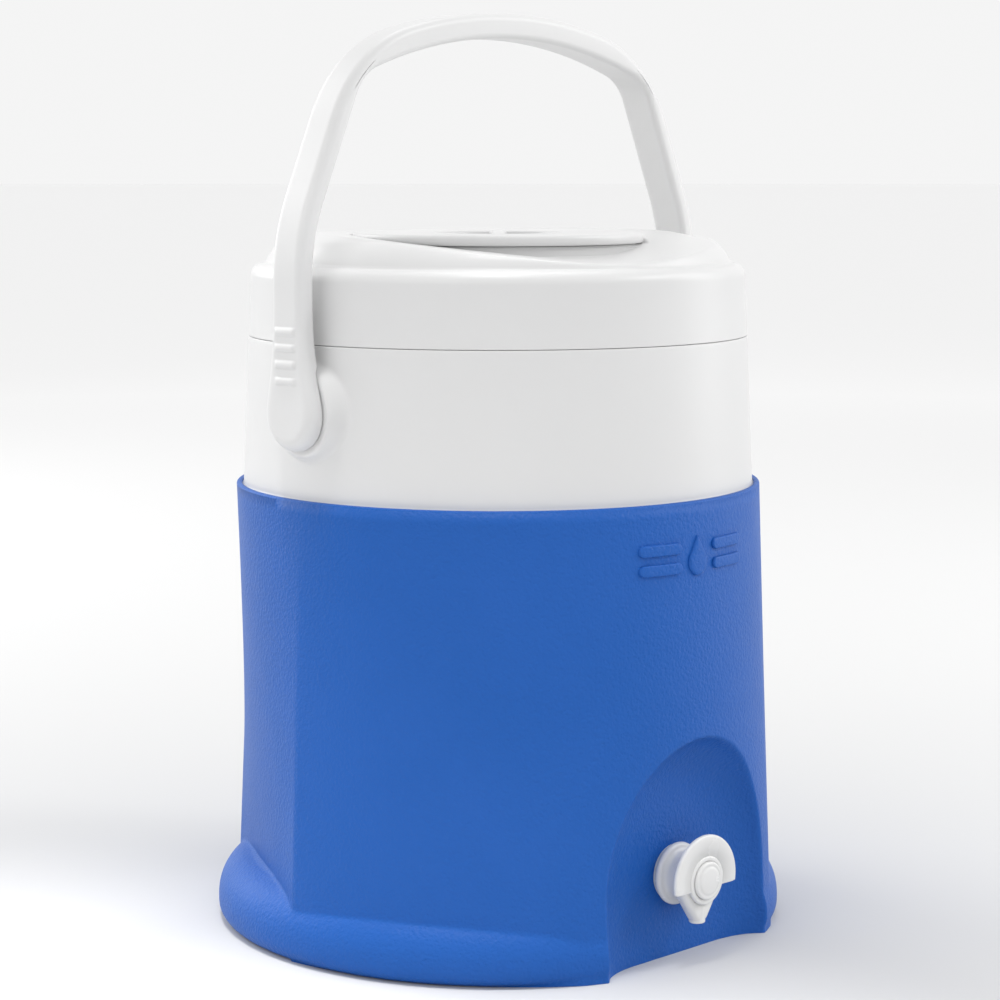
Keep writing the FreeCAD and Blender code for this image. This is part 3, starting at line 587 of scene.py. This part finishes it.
def emblem():
    """A drop between two pairs of short bars."""
    lean = math.asin(DROP_R / DROP_TIP_UP)
    round_part = np.linspace(lean, -math.pi - lean, 29)
    arms = np.stack([DROP_R * np.cos(round_part), DROP_R * np.sin(round_part)], -1)
    tip = np.array([0.0, DROP_TIP_UP])
    left = arms[-1] + (tip - arms[-1]) * np.linspace(0, 1, 7)[1:, None]
    right = tip + (arms[0] - tip) * np.linspace(0, 1, 7)[1:-1, None]
    arms = np.concatenate([arms, left, right])
    add_mark("emblem_drop", np.array([0.0, DROP_Z]) + 0 * arms, arms)
    for side in (-1, 1):
        for step in (-1, 1):
            z = EMBLEM_Z + step * BAR_STEP_Z
            ends = sorted((side * BAR_FROM_X, side * BAR_TO_X))
            low_end = np.linspace(1.5 * math.pi, 0.5 * math.pi, 13)
            high_end = np.linspace(0.5 * math.pi, -0.5 * math.pi, 13)
            along = np.linspace(ends[0], ends[1], 9)[1:-1]
            spine_x = np.concatenate([ends[0] + 0 * low_end, along, ends[1] + 0 * high_end, along[::-1]])
            way = np.concatenate([low_end, np.full(7, 0.5 * math.pi), high_end, np.full(7, -0.5 * math.pi)])
            bar_arms = BAR_R * np.stack([np.cos(way), np.sin(way)], -1)
            spine = np.stack([spine_x, np.full_like(spine_x, z)], -1)
            place = ("left" if side < 0 else "right") + ("_low" if step < 0 else "_high")
            add_mark("emblem_bar_" + place, spine, bar_arms)


# ---- white shoulder collar ----

def shoulder_collar():
    """Collar with its plug, two raised bosses and the threaded neck, as one closed skin."""
    fine = np.arange(76, 104.01, 0.4)
    coarse = np.arange(-75, 75.01, 1.5)
    azimuth = np.concatenate([coarse, fine, 180 + coarse, 180 + fine])
    plug = curve(
        (137.2, COLLAR_LOW_Z), (SOCKET_R - 0.6, COLLAR_LOW_Z),
        (SOCKET_R, COLLAR_LOW_Z + 0.6), (SOCKET_R, 238.8),
    )
    wall_low = curve((SHOULDER_R, SHELL_TOP_Z - 0.6), (SHOULDER_R, SHELL_TOP_Z + 1))
    wall_z = np.concatenate([np.arange(244, 254, 4.0), np.arange(254, 317, 1.0)])
    slope = (SHOULDER_R - SHOULDER_TOP_R) / (SHOULDER_TOP_Z - SHELL_TOP_Z)
    wall = np.stack([SHOULDER_R - slope * (wall_z - SHELL_TOP_Z), wall_z], -1)
    deck = curve((135.1, 318.4), (134.9, 318.8, 134.5, SHOULDER_TOP_Z), (NECK_R + 1.5, SHOULDER_TOP_Z))
    neck_foot = curve((NECK_R + 0.8, SHOULDER_TOP_Z + 0.15), (NECK_R, SHOULDER_TOP_Z + 1.0))
    neck_z = np.arange(320.5, 336.6, 0.5)
    neck = np.stack([np.full_like(neck_z, NECK_R), neck_z], -1)
    top = curve((NECK_R, 337.0), (NECK_R - 0.3, 337.7, NECK_R - 1, NECK_TOP_Z), (TANK_R + 0.6, NECK_TOP_Z))
    inside = curve(
        (TANK_R, NECK_TOP_Z - 0.6), (TANK_R, 316.0), (132.0, 316.0),
        (135.4, SHELL_TOP_Z), (136.2, 238.0),
    )
    outline = np.concatenate([plug, wall_low, wall, deck, neck_foot, neck, top, inside])
    radius = outline[:, :1] + 0 * azimuth
    z = outline[:, 1:] + 0 * azimuth
    on_neck = (np.abs(outline[:, :1] - NECK_R) < 0.01) & (z > SHOULDER_TOP_Z + 1)
    phase = (z - SHOULDER_TOP_Z) / (THREAD_LEAD / THREAD_STARTS) - THREAD_STARTS * azimuth / 360
    ridge = smooth_step(0.45, 0.95, np.cos(math.tau * phase))
    fade = smooth_step(321, 323.5, z) * (1 - smooth_step(332, 334.5, z))
    radius = radius + on_neck * THREAD_HEIGHT * ridge * fade
    x = radius * np.sin(np.radians(azimuth))
    y = -radius * np.cos(np.radians(azimuth))
    out = np.hypot(y, z - PIVOT_Z)
    boss = BOSS_FACE_X - smooth_max(0 * out, (out - BOSS_FACE_R) * 1.6, 1.2)
    outside = (z > SHELL_TOP_Z + 1) & (z < SHOULDER_TOP_Z - 1) & (radius > 134)
    x = np.where(outside, np.sign(x) * np.minimum(smooth_max(np.abs(x), boss, 1.6), BOSS_FACE_X), x)
    add_piece("shoulder", np.stack([x, y, z], -1), "root", WHITE, "shoulder_collar")


# ---- lid ----

def saddle(x, y):
    """Height of the shallow valley that runs from the lid's front to its back."""
    across = np.abs(x)
    round_rise = SADDLE_ROUND_R - math.sqrt(SADDLE_ROUND_R ** 2 - SADDLE_ROUND_HALF_W ** 2)
    middle = SADDLE_ROUND_R - np.sqrt(SADDLE_ROUND_R ** 2 - np.minimum(across, SADDLE_ROUND_HALF_W) ** 2)
    side = round_rise + SADDLE_SIDE_SLOPE * (across - SADDLE_ROUND_HALF_W)
    return SADDLE_Z + SADDLE_RISE * y + np.where(across < SADDLE_ROUND_HALF_W, middle, side)


def lid_shell():
    """Screw lid: skirt, rolled rim, a dome cut by the valley, and the seat round the mouth."""
    columns = np.radians(np.arange(0, 360, 1.25))
    low_z = LID_BOTTOM_Z - 0.25
    skirt = curve(
        (131.5, low_z + 0.4), (131.9, low_z), (134.6, low_z),
        (134.9, low_z + 0.1, 135.0, low_z + 0.4),
        (133.5, 350.0), (132.0, 355.2, 127.5, 357.7), (125.9, 358.1),
        arc_steps=10,
    )
    dome = curve((125.2, 358.6), (121.6, 364.8, 113.7, 370.6), (104.0, 374.0), arc_steps=14)
    crown_r = np.linspace(104, SEAT_R, 12)[1:]
    crown = np.stack([crown_r, 374 + (104 - crown_r) * 0.25], -1)
    rows = []

    def add_row(radius, height):
        x = radius * np.sin(columns)
        y = -radius * np.cos(columns)
        rows.append((x, y, height(x, y) + 0 * x))

    for radius, height in np.concatenate([skirt, dome, crown]):
        add_row(radius, lambda x, y, top=height: smooth_min(top + 0 * x, saddle(x, y), 1.6))
    for radius in (SEAT_R - 0.05, PEDESTAL_R + 0.6):
        add_row(radius, lambda x, y: np.minimum(SEAT_Z, saddle(x, y)))
    for radius, height in curve(
        (PEDESTAL_R - 0.3, SEAT_Z - 0.2), (PEDESTAL_R - 0.8, SEAT_Z), (71.4, SEAT_Z), (71.2, SEAT_Z - 2.0),
        (64.8, SEAT_Z - 2.0), (64.6, SEAT_Z), (MOUTH_R + 0.5, SEAT_Z), (MOUTH_R, SEAT_Z - 0.5),
        (MOUTH_R, 341.3), (MOUTH_R + 2.5, 341.3), (MOUTH_R + 2.5, 363.0), (SEAT_R + 2.5, 363.0),
    ):
        add_row(radius, lambda x, y, top=height: np.minimum(top, saddle(x, y) + 40))
    under = curve((90.0, 374.5), (104.0, 371.0), (112.0, 367.0), (123.0, 354.8), (131.5, 350.0))
    for radius, height in under:
        add_row(radius, lambda x, y, top=height: np.minimum(top, saddle(x, y) - WALL))
    grid = np.array(rows).transpose(0, 2, 1)
    turned = grid.copy()
    turned[..., 0] = grid[..., 0] * math.cos(LID_TURN) - grid[..., 1] * math.sin(LID_TURN)
    turned[..., 1] = grid[..., 0] * math.sin(LID_TURN) + grid[..., 1] * math.cos(LID_TURN)
    add_piece("lid", turned, "lid", WHITE, "lid_shell")


def filler_cap():
    """Flat twist cap with a round finger recess, a bar across it and a hollow plug below."""
    outline = np.concatenate([
        curve(
            (RECESS_R + 2.5, CAP_BOTTOM_Z), (59.0, CAP_BOTTOM_Z), (59.0, 346.4), (59.4, 346.0),
            (61.1, 346.0), (61.5, 346.4), (61.5, CAP_BOTTOM_Z), (CAP_R - 0.8, CAP_BOTTOM_Z),
            (CAP_R, CAP_BOTTOM_Z + 0.8), (CAP_R, CAP_TOP_Z - 2),
            (CAP_R - 0.6, CAP_TOP_Z - 0.6, CAP_R - 2, CAP_TOP_Z),
        ),
        curve(
            (58.0, CAP_TOP_Z), (36.0, CAP_TOP_Z),
            (34.6, CAP_TOP_Z - 0.4, RECESS_R, CAP_TOP_Z - 1.8), (RECESS_R - 0.3, RECESS_FLOOR_Z + 3),
            (RECESS_R - 1.2, RECESS_FLOOR_Z + 0.9, RECESS_R - 3.5, RECESS_FLOOR_Z),
            (12.0, RECESS_FLOOR_Z), (0.0, RECESS_FLOOR_Z), (0.0, RECESS_FLOOR_Z - 2.5),
            (RECESS_R + 2.5, RECESS_FLOOR_Z - 2.5),
        ),
    ])
    add_piece("filler_cap_disc", lathe(outline, 240), "cap", WHITE, "filler_cap")
    section = rounded([
        (-GRIP_BAR_HALF_W, RECESS_FLOOR_Z - 1, 0), (GRIP_BAR_HALF_W, RECESS_FLOOR_Z - 1, 0),
        (GRIP_BAR_HALF_W, CAP_TOP_Z - 0.1, 1.6), (-GRIP_BAR_HALF_W, CAP_TOP_Z - 0.1, 1.6),
    ])
    along = np.linspace(-RECESS_R - 0.8, RECESS_R + 0.8, 41)
    angle = math.radians(GRIP_BAR_AZ)
    rows = []
    for distance in along:
        flare = 1 + 0.5 * (abs(distance) / RECESS_R) ** 6
        across = section[:, 0] * flare
        x = across * math.cos(angle) - distance * math.sin(angle)
        y = across * math.sin(angle) + distance * math.cos(angle)
        rows.append(np.stack([x, y, section[:, 1]], -1))
    first = rows[0].mean(0, keepdims=True) + 0 * rows[0]
    last = rows[-1].mean(0, keepdims=True) + 0 * rows[0]
    grid = np.array([first] + rows + [last])
    add_piece("filler_cap_bar", grid, "cap", WHITE, "filler_cap", loop_rows=False)


# ---- handle ----

def bail_edge(leg_x, shoulder_r, top_z, crown_r):
    """Right half of one edge of the bail, from its pivot to the crown's middle, and the ways out."""
    lean_way = np.array([math.cos(LEG_LEAN), math.sin(LEG_LEAN)])
    bend_r = LEG_BEND_R - (LEG_OUTER_X - leg_x)
    bend_centre = np.array([leg_x - bend_r, LEG_BEND_Z])
    bend_end = bend_centre + bend_r * lean_way
    crown_centre = np.array([0.0, top_z - crown_r])
    reach = crown_r - shoulder_r
    from_leg = lean_way @ (bend_end - crown_centre) - shoulder_r
    crown_angle = math.pi / 2 + LEG_LEAN - math.asin(from_leg / reach)
    shoulder_centre = crown_centre + reach * np.array([math.cos(crown_angle), math.sin(crown_angle)])
    points = []
    ways = []

    def add_arc(centre, radius, from_angle, to_angle, steps):
        angles = np.linspace(from_angle, to_angle, steps)[1:]
        way = np.stack([np.cos(angles), np.sin(angles)], -1)
        points.append(centre + radius * way)
        ways.append(way)

    def add_line(from_point, to_point, way, steps):
        share = np.linspace(0, 1, steps)[1:, None]
        points.append(from_point + (to_point - from_point) * share)
        ways.append(way + 0 * share)

    outward = np.array([1.0, 0.0])
    add_line(np.array([leg_x, PIVOT_Z]), np.array([leg_x, LEG_BEND_Z]), outward, 132)
    add_arc(bend_centre, bend_r, 0, LEG_LEAN, 16)
    add_line(bend_end, shoulder_centre + shoulder_r * lean_way, lean_way, 14)
    add_arc(shoulder_centre, shoulder_r, LEG_LEAN, crown_angle, 26)
    add_arc(crown_centre, crown_r, crown_angle, math.pi / 2, 24)
    return np.concatenate(points), np.concatenate(ways)


def bail_line(leg_x, shoulder_r, top_z, crown_r):
    """The whole edge from the bottom of one eye over the crown to the bottom of the other."""
    half, ways = bail_edge(leg_x, shoulder_r, top_z, crown_r)
    eye_turn = np.linspace(-math.pi / 2, 0, 32)
    eye_z = PIVOT_Z + EYE_R * np.sin(eye_turn)
    half = np.concatenate([np.stack([np.full_like(eye_z, leg_x), eye_z], -1), half])
    ways = np.concatenate([np.array([1.0, 0.0]) + 0 * eye_z[:, None], ways])
    flip = np.array([-1.0, 1.0])
    return np.concatenate([half, half[-2::-1] * flip]), np.concatenate([ways, ways[-2::-1] * flip])


def handle():
    """Bail with round eyes, rounded edges and grip ridges low on its legs."""
    outer, outer_way = bail_line(LEG_OUTER_X, BAIL_SHOULDER_R, HANDLE_TOP_Z, CROWN_R)
    inner_top_z = HANDLE_TOP_Z - GRIP_THICKNESS
    inner, inner_way = bail_line(LEG_INNER_X, BAIL_SHOULDER_INNER_R, inner_top_z, CROWN_R - GRIP_THICKNESS)
    across = np.sin(np.linspace(-math.pi / 2, math.pi / 2, 33))
    rows = []
    for station in range(len(outer)):
        z = outer[station, 1]
        up = z - PIVOT_Z
        if up < 0:
            half_w = math.sqrt(max(EYE_R ** 2 - up ** 2, 0))
        else:
            half_w = LEG_HALF_W + (EYE_R - LEG_HALF_W) * math.exp(-(up / 24.0) ** 1.6)
        y = across * half_w
        to_edge = np.where(up < 0, EYE_R - np.hypot(y, up), half_w - np.abs(y))
        near_eye = 1 - smooth_step(0, 40, up)
        outer_drop = edge_drop(to_edge, BAIL_OUTER_EDGE_R + EYE_EDGE_CHANGE * near_eye)
        inner_drop = edge_drop(to_edge, BAIL_INNER_EDGE_R - EYE_EDGE_CHANGE * near_eye)
        relief = (EYE_INNER_X - LEG_INNER_X) * (1 - smooth_step(EYE_R + 2, EYE_R + 6, abs(up)))
        ridge = 0.0
        for ridge_z in RIDGE_HEIGHTS:
            swell = max(1 - ((z - ridge_z) / RIDGE_RUN) ** 2, 0)
            ridge = ridge + math.sqrt(swell)
        ridge = RIDGE_PROUD * ridge * (1 - smooth_step(RIDGE_HALF_W - 1.5, RIDGE_HALF_W, np.abs(y)))
        top = outer[station] - outer_way[station] * (outer_drop - ridge)[:, None]
        low = inner[station] + inner_way[station] * (inner_drop + relief)[:, None]
        top = np.stack([top[:, 0], y, top[:, 1]], -1)
        low = np.stack([low[:, 0], y, low[:, 1]], -1)
        rows.append(np.concatenate([top, low[::-1]]))
    add_piece("bail", np.array(rows), "handle", WHITE, "handle", loop_rows=False)


# ---- tap ----

def star_ring(outline, inner_r, back, front, edge):
    """Closed plate with a round hole on the tap's axis, inside an outline of (x, up) points."""
    reach = np.hypot(*outline.T)[:, None]
    way = outline / reach
    turns = np.linspace(0, math.pi / 2, 6)

    def row(out, height):
        return np.append(way * out, np.full((len(way), 1), height), 1)

    rows = [row(inner_r, back)]
    for turn in turns:
        out = np.maximum(reach - edge * (1 - math.sin(turn)), inner_r + 0.2)
        rows.append(row(out, back + edge * (1 - math.cos(turn))))
    for turn in turns[::-1]:
        out = np.maximum(reach - edge * (1 - math.sin(turn)), inner_r + 0.2)
        rows.append(row(out, front - edge * (1 - math.cos(turn))))
    rows.append(row(inner_r, front))
    grid = np.array(rows)
    grid[..., 1] *= -1
    return on_tap_axis(grid)


def tap_barrel():
    """Shank, flange, barrel and the round collar round the button."""
    outline = np.concatenate([
        curve(
            (BORE_R, SHANK_END), (8.0, SHANK_END), (8.0, 130.5), (14.6, 130.5),
            (16.0, 131.1, 16.5, 132.2), (16.2, 133.5, 14.9, 134.4), (13.2, 134.9, 12.2, 136.6),
            (11.8, 138.5), (11.8, 149.5),
        ),
        curve((12.6, 150.4), (12.8, TAP_FRONT - 1.1), (12.45, TAP_FRONT - 0.3, 11.7, TAP_FRONT)),
        curve(
            (11.0, TAP_FRONT), (10.3, TAP_FRONT - 0.25, 10.05, TAP_FRONT - 0.9), (10.05, 138.0),
            (SPRING_POCKET_R, 138.0), (SPRING_POCKET_R, SPRING_POCKET_END), (BORE_R, SPRING_POCKET_END),
        ),
    ])
    grid = on_tap_axis(lathe(outline, 96))
    add_piece("tap_barrel", grid, "root", TAP_WHITE, "tap_body")


def tap_head():
    """Head that narrows down to the spout."""
    lean = math.asin((HEAD_R - SPOUT_R) / SPOUT_DROP)
    upper = np.linspace(-lean, math.pi + lean, 61)
    lower = np.linspace(math.pi + lean, math.tau - lean, 25)
    outline = np.concatenate([
        np.stack([HEAD_R * np.cos(upper), HEAD_R * np.sin(upper)], -1),
        np.stack([SPOUT_R * np.cos(lower), SPOUT_R * np.sin(lower) - SPOUT_DROP], -1),
    ])
    side = outline[len(upper)] - outline[len(upper) - 1]
    left = outline[len(upper) - 1] + side * np.linspace(0, 1, 8)[1:-1, None]
    right = left[::-1] * np.array([-1.0, 1.0])
    outline = np.concatenate([outline[:len(upper)], left, outline[len(upper):], right])
    grid = star_ring(outline, 10.6, 142.0, 150.0, 3.0)
    add_piece("tap_head", grid, "root", TAP_WHITE, "tap_body")


def tap_thumb_plate():
    """Half-round plate above and beside the button."""
    angles = np.linspace(0, math.tau, 180, endpoint=False)
    cut = THUMB_PLATE_BELOW / np.maximum(-np.sin(angles), 1e-3)
    reach = smooth_min(np.full_like(angles, THUMB_PLATE_R), cut, 2.0)
    reach = smooth_max(reach, np.full_like(angles, 12.2), 1.0)
    outline = np.stack([reach * np.cos(angles), reach * np.sin(angles)], -1)
    grid = star_ring(outline, 11.0, 149.6, 152.5, 1.2)
    add_piece("tap_thumb_plate", grid, "root", TAP_WHITE, "tap_body")


def tap_nozzle():
    """Short tube at the tip of the spout."""
    outline = curve(
        (2.8, tap_low.z + 0.3), (3.0, tap_low.z), (3.5, tap_low.z),
        (4.1, tap_low.z + 0.3, 4.3, tap_low.z + 1.0), (4.3, 26.0), (4.0, 31.0), (2.8, 31.0),
    )
    grid = lathe(outline, 48)
    grid[..., 1] += NOZZLE_Y
    add_piece("tap_nozzle", grid, "root", TAP_WHITE, "tap_body")


def tap_button():
    """Round button with a shallow groove near its rim."""
    front = BUTTON_FRONT
    outline = curve(
        (0.0, front), (6.0, front - 0.1), (7.2, front - 0.35), (7.7, front - 0.75),
        (8.2, front - 0.5), (8.9, front - 0.55), (9.7, front - 0.9, BUTTON_R, front - 1.8),
        (BUTTON_R, 150.4), (BUTTON_R - 0.4, 150.0), (4.2, 150.0), (4.2, 146.0), (0.0, 146.0),
    )
    grid = on_tap_axis(lathe(outline, 96))
    add_piece("tap_push_button", grid, "button", TAP_WHITE, "tap_button", loop_rows=False)


outer_shell()
emblem()
shoulder_collar()
lid_shell()
filler_cap()
handle()
tap_barrel()
tap_head()
tap_thumb_plate()
tap_nozzle()
tap_button()


# ---- materials of the CAD nodes that stay ----

def dress_nodes():
    """Gives each CAD node that has no piece of its own here the material it is made of."""
    tank = tank_plastic()
    seal = silicone()
    foam = insulation_foam()
    pin_steel = brushed_steel("pin_steel", 0.3)
    spring_steel = brushed_steel("spring_steel", 0.25)
    nylon = natural_nylon()
    dressed = {
        "base_plate": BLUE, "inner_liner": tank, "lid_liner": tank, "cap_liner": tank, "tap_nut": TAP_WHITE,
        "tap_stem": TAP_WHITE, "neck_gasket": seal, "lid_gasket": seal, "cap_seal": seal,
        "tap_valve_seal": seal, "tap_washer_outer": seal, "tap_washer_inner": seal, "foam_body": foam,
        "lid_foam": foam, "cap_foam": foam, "pivot_pin_left": pin_steel, "pivot_pin_right": pin_steel,
        "tap_spring": spring_steel, "tap_stem_clip": spring_steel, "pivot_bush_left": nylon,
        "pivot_bush_right": nylon,
    }
    for name, material in dressed.items():
        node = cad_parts[name]
        for slot in node.material_slots:
            slot.material = material


dress_nodes()


# ---- floor, light and camera ----

def stage_piece(name, points, faces, material):
    """Piece that stands round the jug and isn't part of it."""
    mesh = bpy.data.meshes.new(name)
    mesh.from_pydata(points, [], faces)
    mesh.shade_smooth()
    mesh.materials.append(material)
    piece = bpy.data.objects.new(name, mesh)
    bpy.context.scene.collection.objects.link(piece)


def studio_floor():
    """Pale floor with painted shade: a little greyer round the jug, where its shade would fall. The floor
    runs out of sight.
    """
    material, tree, shader = new_material("studio_floor", (0.9, 0.9, 0.9), 0.9)
    where = tree.nodes.new("ShaderNodeTexCoord")
    mapping = tree.nodes.new("ShaderNodeMapping")
    mapping.inputs["Scale"].default_value = (0.3, 0.3, 0.3)
    # painted shade: the floor's colour darkens from 0.97 far off to 0.6 at the jug, standing in for the
    # jug's shade on the floor
    painted_shade_falloff = tree.nodes.new("ShaderNodeTexGradient")
    painted_shade_falloff.gradient_type = "SPHERICAL"
    tree.links.new(where.outputs["Object"], mapping.inputs["Vector"])
    tree.links.new(mapping.outputs["Vector"], painted_shade_falloff.inputs["Vector"])
    painted_shade_tones = tree.nodes.new("ShaderNodeValToRGB")
    painted_shade_tones.color_ramp.elements[0].color = (0.97, 0.97, 0.97, 1)
    painted_shade_tones.color_ramp.elements[1].color = (0.6, 0.6, 0.6, 1)
    tree.links.new(painted_shade_falloff.outputs["Fac"], painted_shade_tones.inputs["Fac"])
    tree.links.new(painted_shade_tones.outputs["Color"], shader.inputs["Base Color"])
    rings = np.array([(radius, 0.0) for radius in (0.0, 1.0, 5.0, 60.0)])
    grid = lathe(rings, 64)
    rows, columns = grid.shape[:2]
    stage_piece("studio_floor", grid.reshape(-1, 3).tolist(), grid_faces(rows, columns, False), material)


def soft_light(name, azimuth, distance, height, size, watts, aim_z=0.25):
    """Area light that looks at the jug from an azimuth."""
    light = bpy.data.lights.new(name, "AREA")
    light.shape = "RECTANGLE"
    light.size, light.size_y = size
    light.energy = watts
    holder = bpy.data.objects.new(name, light)
    angle = math.radians(azimuth)
    place = Vector((distance * math.sin(angle), -distance * math.cos(angle), height))
    holder.location = place
    holder.rotation_euler = (Vector((0, 0, aim_z)) - place).to_track_quat("-Z", "Y").to_euler()
    bpy.context.scene.collection.objects.link(holder)


def spot_light(name, azimuth, distance, watts):
    """Narrow soft cone straight down on the floor and the foot."""
    light = bpy.data.lights.new(name, "SPOT")
    light.energy = watts
    light.spot_size = math.radians(20)
    light.spot_blend = 0.3
    light.shadow_soft_size = 0.1
    holder = bpy.data.objects.new(name, light)
    holder.location = (*toward(distance, azimuth), 1.4)
    bpy.context.scene.collection.objects.link(holder)


def even_sky(strength):
    world = bpy.data.worlds.new("studio_air")
    world.use_nodes = True
    background = world.node_tree.nodes["Background"]
    background.inputs["Color"].default_value = (1, 1, 1, 1)
    background.inputs["Strength"].default_value = strength
    bpy.context.scene.world = world


def studio_camera():
    """Camera in front of the jug and to its left, a little above its middle and pitched down."""
    azimuth = math.radians(-45)
    distance = 1.416
    height = 0.409
    pitch = math.radians(7.3)
    camera = bpy.data.cameras.new("camera")
    camera.sensor_width = 36.0
    camera.lens = 93.74
    camera.shift_x = 0.002
    holder = bpy.data.objects.new("camera", camera)
    holder.location = (distance * math.sin(azimuth), -distance * math.cos(azimuth), height)
    holder.rotation_euler = (math.pi / 2 - pitch, 0, azimuth)
    bpy.context.scene.collection.objects.link(holder)
    bpy.context.scene.camera = holder


studio_floor()
even_sky(0.91)
soft_light("rim_right", 60, 2.0, 1.0, (0.9, 1.7), 12)
soft_light("rim_left", -165, 2.2, 1.2, (1.7, 1.7), 22)
soft_light("key", 35, 1.8, 1.6, (0.35, 0.35), 7)
soft_light("fill", -80, 2.2, 1.5, (1.2, 1.2), 4)
soft_light("overhead", 135, 0.6, 1.8, (0.8, 0.5), 4)
spot_light("foot_left", -105, 0.34, 55)
spot_light("foot_front", -50, 0.34, 55)
studio_camera()
bpy.context.scene.view_settings.view_transform = "Standard"
